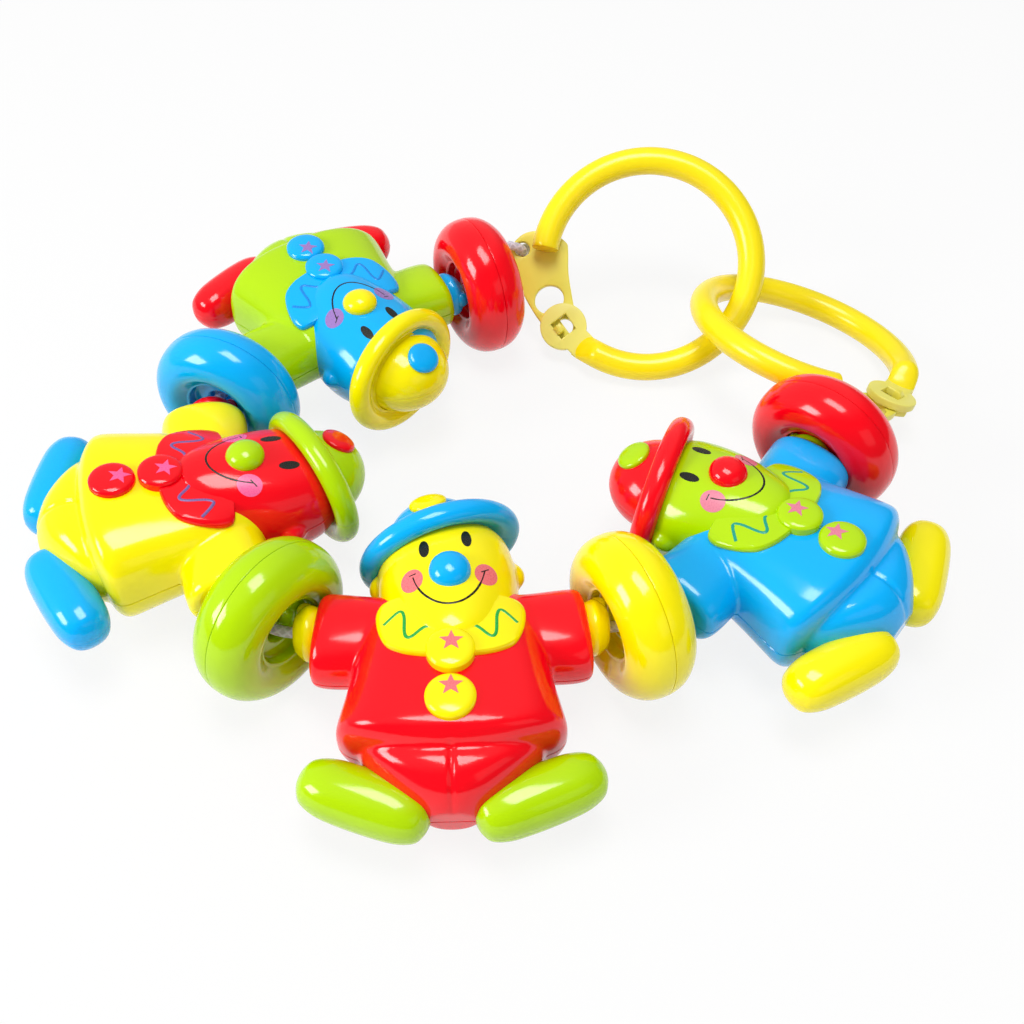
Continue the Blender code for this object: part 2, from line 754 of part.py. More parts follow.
def bend(start, start_way, end, end_way, share):
    """A point on a smooth curve between two straight stretches of cord."""
    reach = (end - start).length * BEND_REACH_SHARE
    a, b = start + start_way * reach, end - end_way * reach
    t, s = share, 1 - share
    return start * s**3 + a * (3 * s * s * t) + b * (3 * s * t * t) + end * t**3


def bead_frames():
    """Each bead's centre, its axis and the cord's point inside it."""
    places = figure_places()
    frames = []
    up = Vector((0.0, 0.0, 1.0))
    lift = up * CORD_DROP
    for end in (0, 1):
        index = -1 if end else 0
        way = heading(FIGURES[index][1])
        aside = up.cross(way)
        away = (FIGURE_REACH + END_BEAD_PAST_REACH[end]) * (1 if end else -1)
        centre = places[index] + way * away + aside * END_BEAD_ASIDE[end] + lift
        lean = END_BEAD_LEAN[end]
        axis = Matrix.Rotation(END_BEAD_TURN[end], 3, "Z") @ way * math.cos(lean) + up * math.sin(lean)
        centre += up * BEAD_WIDTH / 2 * math.sin(lean) * LEAN_SHARE
        inside = centre - lift - aside * min(BEAD_SLACK, END_BEAD_ASIDE[end])
        frames.append((centre, axis, inside))
    middle = []
    for i in range(len(FIGURES) - 1):
        way, next_way = heading(FIGURES[i][1]), heading(FIGURES[i + 1][1])
        start = places[i] + way * CORD_STRAIGHT_HALF
        finish = places[i + 1] - next_way * CORD_STRAIGHT_HALF
        inside = bend(start, way, finish, next_way, BEND_SHARES[i])
        axis = (way + next_way).normalized()
        centre = inside + up.cross(axis) * BEAD_SLACK + lift
        middle.append((centre, axis, inside))
    return [frames[0]] + middle + [frames[1]]


def clip_frame(centre, normal):
    """A clip's frame: X to the right across the ring, Z out of its front."""
    z = Vector(normal).normalized()
    x = (Vector((1.0, 0.0, 0.0)) - z * z.x).normalized()
    y = z.cross(x)
    frame = Matrix((x, y, z)).transposed().to_4x4()
    frame.translation = Vector(centre)
    return frame


def polar(radius, angle, height=0.0):
    return Vector((radius * math.cos(angle), radius * math.sin(angle), height))


def ring_middle():
    return (RING_DIAMETER - RING_TUBE) / 2


def plate_front():
    """Level of the plate's front face, behind the arm's tube."""
    return -RING_TUBE / 2 - FIT_GAP


def plate_frame(index):
    """A plate's frame, turned back about the hub by as much as its arm stands open."""
    _, centre, normal, hub, opening = CLIPS[index]
    axis = hub_frame(hub)
    return clip_frame(centre, normal) @ axis @ Matrix.Rotation(-opening, 4, "Z") @ axis.inverted()


def cord_hole_spot(hub):
    """The middle of a plate's cord hole in the plate's frame."""
    return polar(CORD_HOLE_AWAY, hub - HUB_TO_TIP, plate_front() - PLATE_THICKNESS / 2)


def cord_end(index):
    """The cord's last points, over the plate's edge and down its hole, with their ways and the knot's place."""
    frame = plate_frame(index)
    hub = CLIPS[index][3]
    spot = frame @ cord_hole_spot(hub)
    over = frame @ polar(TAIL_OVER, hub - HUB_TO_TIP, plate_front() + TAIL_LIFT)
    normal = frame.to_3x3() @ Vector((0.0, 0.0, 1.0))
    inward = frame.to_3x3() @ polar(-1.0, hub - HUB_TO_TIP)
    knot = spot - normal * (PLATE_THICKNESS / 2 + FIT_GAP + KNOT_LENGTH / 2)
    return (over, spot, knot), (inward, -normal, -normal)


def smooth_run(points, closed_ways):
    """A smooth curve through points, sampled at even steps."""
    result = []
    ways = []
    for i, point in enumerate(points):
        before = points[max(i - 1, 0)]
        after = points[min(i + 1, len(points) - 1)]
        ways.append((after - before).normalized())
    for index, way in closed_ways.items():
        ways[index] = way
    for i in range(len(points) - 1):
        a, b = points[i], points[i + 1]
        count = max(2, round((b - a).length / (CORD_POINT_STEP / 2)))
        reach = (b - a).length / 3
        for k in range(count):
            t = k / count
            s = 1 - t
            first, second = a + ways[i] * reach, b - ways[i + 1] * reach
            result.append(a * s**3 + first * (3 * s * s * t) + second * (3 * s * t * t) + b * t**3)
    result.append(points[-1])
    return result


def cord_route():
    """The cord's points from one clip's plate to the other's."""
    places = figure_places()
    beads = bead_frames()
    route = []
    for end in (0, 1):
        sign = 1 if end else -1
        centre, axis, inside = beads[-1 if end else 0]
        index = -1 if end else 0
        way = heading(FIGURES[index][1])
        aside = Vector((0.0, 0.0, 1.0)).cross(way)
        start = places[index] + way * sign * CORD_STRAIGHT_HALF
        mouth = centre + axis * sign * BEAD_EXIT + aside * TAIL_ASIDE[end]
        mouth.z += TAIL_UP[end]
        last, ways = cord_end(end)
        tail = [start, inside, mouth, *last]
        run = smooth_run(tail, {0: way * sign, 3: ways[0], 4: ways[1], 5: ways[2]})
        route.append(run)
    points = list(reversed(route[0]))
    for i in range(len(FIGURES)):
        way = heading(FIGURES[i][1])
        points += [places[i] - way * CORD_STRAIGHT_HALF, places[i] + way * CORD_STRAIGHT_HALF]
        if i < len(FIGURES) - 1:
            next_way = heading(FIGURES[i + 1][1])
            start = places[i] + way * CORD_STRAIGHT_HALF
            finish = places[i + 1] - next_way * CORD_STRAIGHT_HALF
            for share in (0.2, 0.4, 0.6, 0.8):
                points.append(bend(start, way, finish, next_way, share))
    points += route[1]
    clean = [points[0]]
    for point in points[1:]:
        if (point - clean[-1]).length > CORD_DIAMETER / 2:
            clean.append(point)
    return clean


# Cord, beads and clips


def tube(name, points, diameter, resolution):
    """A round tube with closed ends along a run of points, as a mesh."""
    curve = bpy.data.curves.new(name, "CURVE")
    curve.dimensions = "3D"
    curve.bevel_depth = diameter / 2
    curve.bevel_resolution = resolution
    curve.use_fill_caps = True
    spline = curve.splines.new("POLY")
    spline.points.add(len(points) - 1)
    for place, point in zip(spline.points, points):
        place.co = (*point, 1.0)
    holder = bpy.data.objects.new(name, curve)
    CUTTERS.objects.link(holder)
    graph = bpy.context.evaluated_depsgraph_get()
    mesh = bpy.data.meshes.new_from_object(holder.evaluated_get(graph))
    bpy.data.objects.remove(holder, do_unlink=True)
    bm = bmesh.new()
    bm.from_mesh(mesh)
    bmesh.ops.remove_doubles(bm, verts=bm.verts, dist=FIT_GAP / 30)
    return mesh_object(name, bm)


def make_cord():
    """The whole cord, with the stopper knot at each end."""
    cord = tube("cord", cord_route(), CORD_DIAMETER, 1)
    for end in (0, 1):
        last, ways = cord_end(end)
        knot = ball((KNOT_DIAMETER, KNOT_DIAMETER, KNOT_LENGTH), (0, 0, 0), KNOT_STEPS, KNOT_STEPS // 2, "knot")
        turn = Vector((0.0, 0.0, 1.0)).rotation_difference(ways[2]).to_matrix().to_4x4()
        transform(knot, Matrix.Translation(last[2]) @ turn)
        join(cord, knot)
    return cord


def bead_profile():
    """Half of a bead in section: radius and height above the seam."""
    rim, recess, half = BEAD_DIAMETER / 2, BEAD_RECESS / 2, BEAD_WIDTH / 2
    seam = SEAM_GAP / 2
    profile = []
    for out, high in BEAD_RIM_SHARES:
        profile.append((recess + (rim - recess) * out, max(seam, half * high)))
    edge = BEAD_RIM_SHARES[-1][1]
    profile += [(recess, BEAD_WEB / 2), (BEAD_HOLE / 2, BEAD_WEB / 2), (BEAD_HOLE / 2, seam)]
    hub = recess + BEAD_WALL
    profile += [(hub, seam), (hub, half * edge - BEAD_WALL)]
    profile += [((hub + rim) / 2, half * BEAD_RIM_SHARES[2][1] - BEAD_WALL), (rim - BEAD_WALL, seam)]
    return profile


def make_bead():
    """Two half shells of a ring bead, about the Z axis."""
    first = lathe(bead_profile(), BEAD_STEPS, Matrix.Identity(4), "half_1")
    second = transform(twin(first, "half_2"), Matrix.Diagonal((1.0, 1.0, -1.0, 1.0)))
    return first, second


def flat_piece(outline, low, high, name):
    """An outline drawn flat, as a plate between two levels."""
    return loft([[(x, y, low) for x, y in outline], [(x, y, high) for x, y in outline]], name)


def hub_frame(hub, level=0.0):
    """A clip's hub in its own frame: X away from the ring's middle, Y on along the arm."""
    return Matrix.Translation(polar(ring_middle(), hub, level)) @ Matrix.Rotation(hub, 4, "Z")


def plate_outline(hub):
    """The plate's edge: in along the ring's inside, back along its outside and round the hub."""
    middle = ring_middle()
    points = [polar(middle * out, hub - HUB_TO_TIP * back) for out, back in PLATE_SHARES]
    frame = hub_frame(hub)
    radius = EYE_DIAMETER / 2 - PLATE_STEP
    for i in range(HUB_ARC_STEPS + 1):
        points.append(frame @ polar(radius, math.pi * i / HUB_ARC_STEPS))
    return [(point.x, point.y) for point in points]


def make_plate(hub):
    """The flat plate with its cord hole, window and snap prong."""
    front = plate_front()
    plate = flat_piece(plate_outline(hub), front - PLATE_THICKNESS, front, "plate")
    centre = front - PLATE_THICKNESS / 2
    drill = PLATE_THICKNESS + CUT_OVERRUN
    half_round = [(-PRONG_SIDE + EYE_SLOT / 2 * math.cos(a), EYE_SLOT / 2 * math.sin(a)) for a in slot_turns()]
    slot = flat_piece(half_round, centre - drill / 2, centre + drill / 2, "slot")
    cut(plate, transform(slot, hub_frame(hub)))
    cut(plate, rod(CORD_HOLE, drill, Matrix.Translation(cord_hole_spot(hub)), 14, "cord_hole"))
    window = Matrix.Translation(polar(ring_middle(), hub - WINDOW_BACK, centre)) @ Matrix.Rotation(hub, 4, "Z")
    window = window @ Matrix.Diagonal((WINDOW_HEIGHT / WINDOW_WIDTH, 1.0, 1.0, 1.0))
    cut(plate, rod(WINDOW_WIDTH, drill, window, 14, "window"))
    return join(plate, make_prong(hub))


def slot_turns():
    """The half turn of the slot beside the prong."""
    return [math.pi * (0.5 + i / 6) for i in range(7)]


def make_prong(hub):
    """The snap prong that the arm's eye turns on, with its lip over the eye."""
    root = plate_front() - PLATE_THICKNESS / 2
    under = plate_front() + 2 * FIT_GAP + TAB_THICKNESS
    stem, lip = PRONG_SIDE + PRONG_WIDTH, PRONG_SIDE + PRONG_WIDTH + PRONG_LIP
    side = [
        (PRONG_SIDE, root),
        (stem, root),
        (stem, under),
        (lip, under),
        (stem, under + PRONG_CAP),
        (PRONG_SIDE, under + PRONG_CAP),
    ]
    rings = [[(x, y, z) for x, z in side] for y in (-PRONG_LENGTH / 2, PRONG_LENGTH / 2)]
    return transform(loft(rings, "prong"), hub_frame(hub))


def make_arm(hub):
    """The round arm, flattened at one end to a tab with an eye."""
    middle = ring_middle()
    sweep = 2 * math.pi - HUB_TO_TIP - HUB_TO_TUBE
    count = math.ceil(sweep / RING_STEP)
    points = [polar(middle, hub + HUB_TO_TUBE + sweep * i / count) for i in range(count + 1)]
    arm = tube("arm", points, RING_TUBE, 3)
    low = plate_front() + FIT_GAP
    way = polar(middle, hub + TAB_END) - polar(middle, hub)
    turn = math.atan2(way.y, way.x)
    radius, half = EYE_DIAMETER / 2, TAB_WIDTH / 2
    corner = math.asin(half / radius)
    outline = [polar(radius, corner + 2 * (math.pi - corner) * i / EYE_STEPS) for i in range(EYE_STEPS + 1)]
    outline += [Vector((way.length, -half, 0.0)), Vector((way.length, half, 0.0))]
    tab = flat_piece([(point.x, point.y) for point in outline], low, low + TAB_THICKNESS, "tab")
    transform(tab, Matrix.Translation(polar(middle, hub)) @ Matrix.Rotation(turn, 4, "Z"))
    hole = box((SQUARE_HOLE, SQUARE_HOLE, TAB_THICKNESS + CUT_OVERRUN), (0, 0, low), "square_hole")
    cut(tab, transform(hole, hub_frame(hub)))
    return join(arm, tab)


# Putting it together


def empty(name, matrix, parent=None):
    """A joint's frame."""
    holder = bpy.data.objects.new(name, None)
    holder.empty_display_size = BEAD_HOLE
    PARTS.objects.link(holder)
    holder.parent = parent
    holder.matrix_world = matrix
    return holder


def add_piece(name, source, colour, matrix, parent=None):
    """A named piece with its own mesh and material, in the parts collection."""
    mesh = source.data.copy()
    mesh.name = name
    obj = bpy.data.objects.new(name, mesh)
    mesh.materials.clear()
    mesh.materials.append(make_material(name, colour))
    PARTS.objects.link(obj)
    obj.parent = parent
    obj.matrix_world = matrix
    return obj


def add_figures():
    pieces = make_figure()
    for place, row in zip(figure_places(), FIGURES):
        name, degrees_value, tip, colours = row[0], row[1], row[2], row[5]
        turn = Matrix.Rotation(math.radians(degrees_value), 4, "Z") @ Matrix.Rotation(math.radians(tip), 4, "X")
        frame = Matrix.Translation(place) @ turn
        holder = empty(name + "_on_cord", frame)
        for label, source in pieces.items():
            add_piece(name + "_" + label, source, colours[PIECE_COLOURS[label]], frame, holder)
    for source in pieces.values():
        bpy.data.objects.remove(source, do_unlink=True)


def add_beads():
    shells = make_bead()
    for (centre, axis, _), name, colour in zip(bead_frames(), BEAD_NAMES, BEAD_COLOURS):
        turn = Vector((0.0, 0.0, 1.0)).rotation_difference(axis).to_matrix().to_4x4()
        frame = Matrix.Translation(centre) @ turn
        holder = empty(name + "_on_cord", frame)
        for number, shell in enumerate(shells, 1):
            add_piece(f"{name}_half_{number}", shell, colour, frame, holder)
    for shell in shells:
        bpy.data.objects.remove(shell, do_unlink=True)


def add_clips():
    for index, (name, centre, normal, hub, _) in enumerate(CLIPS):
        frame = plate_frame(index)
        swing = empty(name + "_on_cord", frame @ Matrix.Translation(cord_hole_spot(hub)))
        plate = make_plate(hub)
        add_piece(name + "_plate", plate, "clip_yellow", frame, swing)
        hinge = empty(name + "_hinge", clip_frame(centre, normal) @ hub_frame(hub, plate_front()), swing)
        arm = make_arm(hub)
        add_piece(name + "_arm", arm, "clip_yellow", clip_frame(centre, normal), hinge)
        for source in (plate, arm):
            bpy.data.objects.remove(source, do_unlink=True)


def main():
    clear_scene()
    add_figures()
    add_beads()
    add_clips()
    cord = make_cord()
    add_piece("cord_white", cord, "cord_white", Matrix.Identity(4))
    bpy.data.objects.remove(cord, do_unlink=True)


main()
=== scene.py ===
"""Looks of the stroller mobile: the clown figures, ring beads, ring clips and cord as they are moulded.

A figure is modelled once in its own frame, X along the cord, Y from the shoes to the hat and Z out
of the belly, and then set on its cord joint. Lengths are in millimetres until a mesh is placed.
"""

import json
import math

import bmesh
import bpy
from mathutils import Matrix, Vector
from mathutils.bvhtree import BVHTree


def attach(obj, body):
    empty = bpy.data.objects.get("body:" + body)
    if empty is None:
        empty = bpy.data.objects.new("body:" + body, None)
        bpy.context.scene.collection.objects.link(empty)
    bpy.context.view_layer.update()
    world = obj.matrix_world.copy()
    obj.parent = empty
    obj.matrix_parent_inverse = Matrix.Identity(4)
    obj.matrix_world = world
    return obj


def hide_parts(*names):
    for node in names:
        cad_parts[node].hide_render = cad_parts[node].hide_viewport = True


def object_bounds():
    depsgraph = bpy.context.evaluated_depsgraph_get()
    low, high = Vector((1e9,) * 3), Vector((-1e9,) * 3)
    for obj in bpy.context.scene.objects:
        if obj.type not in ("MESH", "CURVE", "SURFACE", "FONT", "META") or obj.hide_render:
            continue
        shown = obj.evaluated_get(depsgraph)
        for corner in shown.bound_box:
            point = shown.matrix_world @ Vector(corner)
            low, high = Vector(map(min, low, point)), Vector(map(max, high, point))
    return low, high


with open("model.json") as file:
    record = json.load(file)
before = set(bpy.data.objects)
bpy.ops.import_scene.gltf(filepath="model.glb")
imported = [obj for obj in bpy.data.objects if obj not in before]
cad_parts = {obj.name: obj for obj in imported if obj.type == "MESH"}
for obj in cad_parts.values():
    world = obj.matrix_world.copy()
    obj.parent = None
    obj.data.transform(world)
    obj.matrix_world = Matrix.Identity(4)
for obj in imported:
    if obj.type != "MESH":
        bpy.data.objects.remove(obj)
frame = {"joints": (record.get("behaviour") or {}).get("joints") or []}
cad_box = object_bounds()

MM = 0.001
TO_METRES = Matrix.Diagonal((MM, MM, MM, 1.0))
UP = Vector((0.0, 0.0, 1.0))
JOINTS = {joint["name"]: joint for joint in frame["joints"]}

# Camera, as the photograph was taken: from above the front, on a full-frame sensor
SENSOR_WIDTH = 36.0
LENS = 40.89
CAMERA_PLACE = (1.26, -198.40, 225.79)
CAMERA_DOWN = 48.88
CAMERA_ROLL = 0.96

# Light: a ceiling panel, a window on the left and a weak fill, each with its place, aim, size and watts
LAMPS = {
    "ceiling_panel": ((-0.02, -0.02, 0.85), (0.0, 0.0, 0.0), (0.42, 0.30), 3.7),
    "window": ((-0.85, -0.32, 0.50), (0.0, 0.0, 0.0), (0.40, 0.36), 5.6),
    "fill": ((0.6, -0.6, 0.5), (0.0, 0.0, 0.0), (0.6, 0.4), 0.3),
}
ROOM_LIGHT = 0.45
# The walls that the gloss mirrors are brightest above and behind, and darker towards the viewer
BRIGHT_SIDE = (-0.42, 0.57, 0.71)
BRIGHT_FROM = 0.2
BRIGHT_TO = 0.75
BRIGHT_WALLS = 0.50
SHADED_WALLS = 0.10
# Share of the floor's white that comes straight to the eye, and the paper's own whiteness
FLOOR_GLOW = 0.86
FLOOR_WHITE = 0.80
# In metres: half the floor's side, and how far it lies under the lowest piece
FLOOR_HALF = 2.0
FLOOR_BELOW = 0.0002

# Figures: how far each one tips about the cord, its colours for coat, trim, hat and shoes, and its
# two thin inks, which take up some of the colour under them
FIGURES = {
    "figure_1": (3.9, ("lime", "blue", "yellow", "red"), "ink_blue", "ink_mauve"),
    "figure_2": (1.3, ("yellow", "red", "lime", "blue"), "ink_violet", "ink_rose"),
    "figure_3": (6.9, ("red", "yellow", "blue", "lime"), "ink_green", "ink_coral"),
    "figure_4": (3.4, ("blue", "lime", "red", "yellow"), "ink_teal", "ink_pink"),
}
COAT, TRIM, HAT, SHOES, LINE_INK, ROSE_INK = range(6)
BEADS = {
    "bead_red_left": "red",
    "bead_blue": "blue",
    "bead_lime": "lime",
    "bead_yellow": "yellow",
    "bead_red_right": "red",
}
CLIPS = ("clip_left", "clip_right")

# Moulded surfaces
VOXEL = 0.42
SMOOTHING = 6
SEAM_HALF = 0.05
SEAM_DEPTH = 0.16
SEAM_REACH = 0.4
SHARP_ANGLE = math.radians(38.0)
WELD_DISTANCE = 0.001
# Where the rays that find a surface start: in front of every piece
RAY_START = 60.0

# Coat and trousers, down the body: height, half width, half depth, hem bow, squareness
HEM_BOW = 2.4
BACK_ROUNDNESS = 2.05
TORSO = (
    (8.0, 13.2, 6.4, 0.0, 2.6),
    (4.5, 16.4, 9.4, 0.0, 2.8),
    (-1.0, 18.3, 11.6, 0.0, 3.0),
    (-8.0, 20.0, 13.1, 0.0, 3.1),
    (-15.0, 21.3, 14.2, 0.2, 3.2),
    (-21.0, 22.7, 15.1, 0.6, 3.2),
    (-24.6, 23.5, 15.6, 0.9, 3.1),
    (-26.4, 23.3, 15.3, 1.0, 3.0),
    (-28.0, 21.9, 13.9, 1.0, 2.9),
    (-28.9, 20.2, 12.6, 1.0, 2.8),
    (-29.3, 18.9, 11.9, 1.0, 2.8),
    (-30.2, 18.6, 12.0, 0.9, 2.8),
    (-32.6, 17.0, 12.2, 0.7, 2.7),
    (-35.6, 14.0, 11.6, 0.5, 2.6),
    (-38.4, 10.6, 10.0, 0.4, 2.5),
    (-40.8, 7.2, 7.4, 0.2, 2.4),
    (-42.5, 4.9, 4.8, 0.0, 2.3),
)
TORSO_STEPS = 120
CREASE_WIDTH = 0.55
CREASE_DEPTH = 0.55
CREASE_TOP = -30.6
CREASE_FADE = 1.5

# Sleeve, outwards: reach, half height, half depth, middle's height
SLEEVE = (
    (9.0, 9.4, 8.4, -3.0),
    (18.0, 9.9, 8.5, -2.8),
    (24.0, 10.3, 8.3, -2.4),
    (27.4, 10.2, 7.9, -2.0),
    (28.7, 9.5, 7.2, -1.9),
    (29.2, 8.2, 6.0, -1.9),
)
SLEEVE_SLANT = 0.10
SLEEVE_STEPS = 72
SLEEVE_SQUARENESS = 2.5

# Head, upwards: height, half width, half depth
HEAD = (
    (-9.6, 6.4, 11.4),
    (-9.0, 8.8, 13.6),
    (-7.5, 11.0, 15.0),
    (-4.6, 13.0, 15.5),
    (0.0, 14.3, 15.2),
    (4.8, 15.1, 14.6),
    (10.0, 15.6, 13.6),
    (15.0, 15.2, 12.5),
    (20.0, 13.8, 11.0),
    (25.0, 9.8, 7.9),
)
HEAD_TILT = math.radians(5.0)
HEAD_STEPS = 96
HEAD_SQUARENESS = 2.15
EAR_WIDTH = 7.0
EAR_REACH = 17.4
EAR_HEIGHT = 12.0
EAR_DEPTH_SHARE = 0.4

# Collar lobe, from the middle outwards and up: place across and height
COLLAR = (
    (0.0, -13.3),
    (4.0, -13.3),
    (7.2, -12.9),
    (10.2, -12.0),
    (13.0, -10.2),
    (14.6, -7.0),
    (15.3, -3.4),
    (15.2, -0.6),
    (14.0, 1.2),
    (10.6, 2.0),
    (5.0, 2.4),
)
COLLAR_MIDDLE = (0.0, -5.4)
COLLAR_THICKNESS = 1.3
# The collar's rings from its edge inwards: share of its outline, share of its thickness
COLLAR_ROUND = (
    (1.0, -0.5),
    (1.0, 0.35),
    (0.985, 0.75),
    (0.955, 1.0),
    (0.90, 1.0),
    (0.7, 1.0),
    (0.4, 1.0),
    (0.05, 1.0),
)
# The neck edge that joins both lobes is cut into this many steps
COLLAR_NECK_STEPS = 8

# Buttons: radius, rise and height up the body
UPPER_BUTTON = (5.0, 1.7, -12.4)
BELLY_BUTTON = (5.1, 2.0, -22.9)
# A button's dome from its edge to its top: share of its radius, share of its rise
BUTTON_ROUND = (
    (1.0, 0.30),
    (0.985, 0.46),
    (0.94, 0.62),
    (0.86, 0.76),
    (0.72, 0.88),
    (0.50, 0.96),
    (0.25, 0.99),
    (0.0, 1.0),
)
BUTTON_SINK = 1.4
BUTTON_STEPS = 72
# The upper button is sunk a little into the collar: the share of the collar that stays under it
BUTTON_ON_COLLAR = 0.8

NOSE_WIDTH = 8.9
NOSE_DEPTH = 6.2
NOSE_PLACE = (-0.1, 6.7, 14.2)

# Hat: brim, web and crown as one turned profile, upright on Y, then narrowed in depth
HAT_PLACE = (-2.6, 20.9, 0.0)
HAT_TILT = math.radians(19.0)
BRIM_RADIUS = 19.0
BRIM_TUBE = 2.75
CROWN_RADIUS = 12.1
CROWN_HEIGHT = 12.7
CROWN_STEPS = 24
# The brim's bead, in degrees round it from the web, over its edge and under
BRIM_FROM = 150
BRIM_TO = -110
BRIM_STEPS = 28
BRIM_MIDDLE = BRIM_RADIUS - BRIM_TUBE
# Web between crown and brim, then the hollow underside up to the middle: radius and height
HAT_WEB = ((CROWN_RADIUS + 0.1, 1.6), (CROWN_RADIUS + 0.5, 1.0), (CROWN_RADIUS + 1.0, 0.9))
HAT_UNDER = ((BRIM_MIDDLE - 2.0, -2.0), (CROWN_RADIUS - 0.6, -1.2), (CROWN_RADIUS - 1.6, 1.5), (6.0, 9.5), (0.0, 11.5))
HAT_NARROW = 15.7 / 19.0
HAT_STEPS = 144
# Disc on the crown: place up the crown, half width and half height
HAT_DISC = (7.9, 4.2, 3.2)
# The disc's rings from its edge inwards: share of its outline, height over the crown
HAT_DISC_ROUND = (
    (1.0, -0.5),
    (1.0, 0.4),
    (0.97, 0.7),
    (0.91, 0.92),
    (0.80, 1.06),
    (0.6, 1.1),
    (0.35, 1.04),
    (0.05, 0.95),
)

# Hands on their guide tube, along the cord from the figure's middle
HAND_START = 28.2
HAND_END = 34.1
HAND_RADIUS = 6.2
HAND_BORE = 2.5
# A hand from its outer face back to the sleeve: share of its radius, share of its length
HAND_ROUND = (
    (0.46, 0.0),
    (0.60, 0.04),
    (0.74, 0.14),
    (0.86, 0.28),
    (0.97, 0.44),
    (1.0, 0.58),
    (0.96, 0.74),
    (0.84, 1.0),
)
HAND_STEPS = 72
THUMB_RADIUS = 1.8
THUMB_STRETCH = (1.1, 0.9, 1.2)
# The thumb's middle: share of the hand's length, then shares of its own radius into the hand and forward
THUMB_ALONG = 0.62
THUMB_SUNK = 0.55
THUMB_FORWARD = 0.4
GUIDE_WALL = 1.0
GUIDE_STEPS = 32

# Shoe, from heel to toe: place along, half width, half depth
SHOE = (
    (-13.9, 1.4, 1.5),
    (-13.4, 2.9, 3.1),
    (-12.0, 4.6, 5.0),
    (-8.4, 5.8, 6.2),
    (-2.8, 6.2, 6.6),
    (3.8, 6.2, 6.5),
    (8.5, 5.8, 6.0),
    (11.9, 4.6, 4.7),
    (13.4, 2.8, 2.8),
    (14.0, 1.3, 1.3),
)
SHOE_PLACE = (17.6, -37.8)
SHOE_TURN = math.radians(20.5)
SHOE_STEPS = 72
SHOE_SQUARENESS = 2.25

# Bead in section, from the rim in to the cord hole: radius and height above the seam
BEAD = (
    (18.88, 0.05),
    (19.0, 0.25),
    (18.92, 1.6),
    (18.45, 3.5),
    (17.4, 5.3),
    (15.8, 6.9),
    (13.9, 7.8),
    (12.2, 8.1),
    (10.8, 7.7),
    (9.4, 6.7),
    (8.6, 6.05),
    (8.2, 5.95),
    (7.95, 5.75),
    (7.85, 5.4),
    (7.8, 3.9),
    (7.6, 3.55),
    (7.2, 3.4),
    (4.7, 3.35),
    (4.1, 3.15),
    (3.8, 2.7),
    (3.7, 2.1),
    (3.7, 0.05),
)
BEAD_STEPS = 160
# Mark that the mould's gate left on the face: distance from the axis, radius, depth; it stays above a level
GATE_MARK = (10.9, 1.1, 0.45)
GATE_ABOVE = 4.0

# Ring clips
RING_MIDDLE = 29.3
RING_TUBE = 3.8
RING_STEPS = 120
TUBE_STEPS = 40
HUB_STEPS = 32
SLOT_STEPS = 16
EYE_STEPS = 48
PLATE_LEVEL = -4.1
PLATE_THICK = 2.2
EYE_RADIUS = 6.7
# How far the plate's end stays inside the arm's eye
PLATE_SETBACK = 1.1
TAB_THICK = 2.1
TAB_LEVEL = PLATE_LEVEL + 0.3
TAB_HALF = 3.8
TAB_END = math.radians(18.0)
# Length over which the round arm flattens into the tab
TAB_BLEND = 5.5
# The arm's free end: share of its rounding left, share of its thickness
ARM_END_ROUND = 0.35
ARM_END = ((1.0, 1.0), (0.3, 0.97), (0.0, 0.90))
HUB_TO_TIP = math.radians(45.0)
HUB_TO_TUBE = math.radians(13.5)
CORD_HOLE_AWAY = 36.2
CORD_HOLE = 2.2
SQUARE_HOLE = 2.6
EDGE_ROUND = 0.35
SLOT_RADIUS = 2.4
PRONG_SIDE = 0.4
PRONG_WIDTH = 1.5
PRONG_LENGTH = 2.4
PRONG_LIP = 0.9
PRONG_CAP = 1.0
PRONG_PLAY = 0.3
PRONG_EDGE = 0.15
WINDOW_BACK = math.radians(18.0)
WINDOW_WIDTH = 8.0
WINDOW_HEIGHT = 8.6
# Plate outline: share of the ring's middle radius, share of the angle from the hub to the arm's tip
PLATE = (
    (0.82, 0.10), (0.77, 0.42), (0.765, 0.75), (0.79, 1.10), (0.83, 1.20), (0.98, 1.26), (1.13, 1.23),
    (1.26, 1.15), (1.34, 1.02), (1.33, 0.88), (1.25, 0.60), (1.18, 0.28), (1.14, 0.10),
)

# Cord, with the slack and lifts that part.py lays it by
CORD_RADIUS = 1.25
CORD_STEP = 3.0
CORD_STEPS = 16
# Braid: strands each way round, distance between crossings, and the painted shade in the gaps between strands as the
# share of the cord's colour left there
BRAID_STRANDS = 4.0
BRAID_PITCH = 1.1
BRAID_GAP_SHADE = 0.72
CORD_STRAIGHT_HALF = 30.3
CORD_DROP = 0.35
BEND_REACH = 1 / 2.6
BEAD_SLACK = 1.9
BEAD_EXIT = 8.4
END_ASIDE = (1.54, -0.48)
TAIL_ASIDE = (-2.0, 3.0)
TAIL_UP = (2.0, 4.9)
TAIL_OVER = 39.6
TAIL_LIFT = 2.5
KNOT_BACK = 2.0
KNOT_PLAY = 0.3
KNOT_SIZE = 0.66
KNOT_POINTS = 48
KNOT_DEPTH = 1.2
# Pulled tight, the cord is a little thinner in its knots
KNOT_CORD_SHARE = 0.86

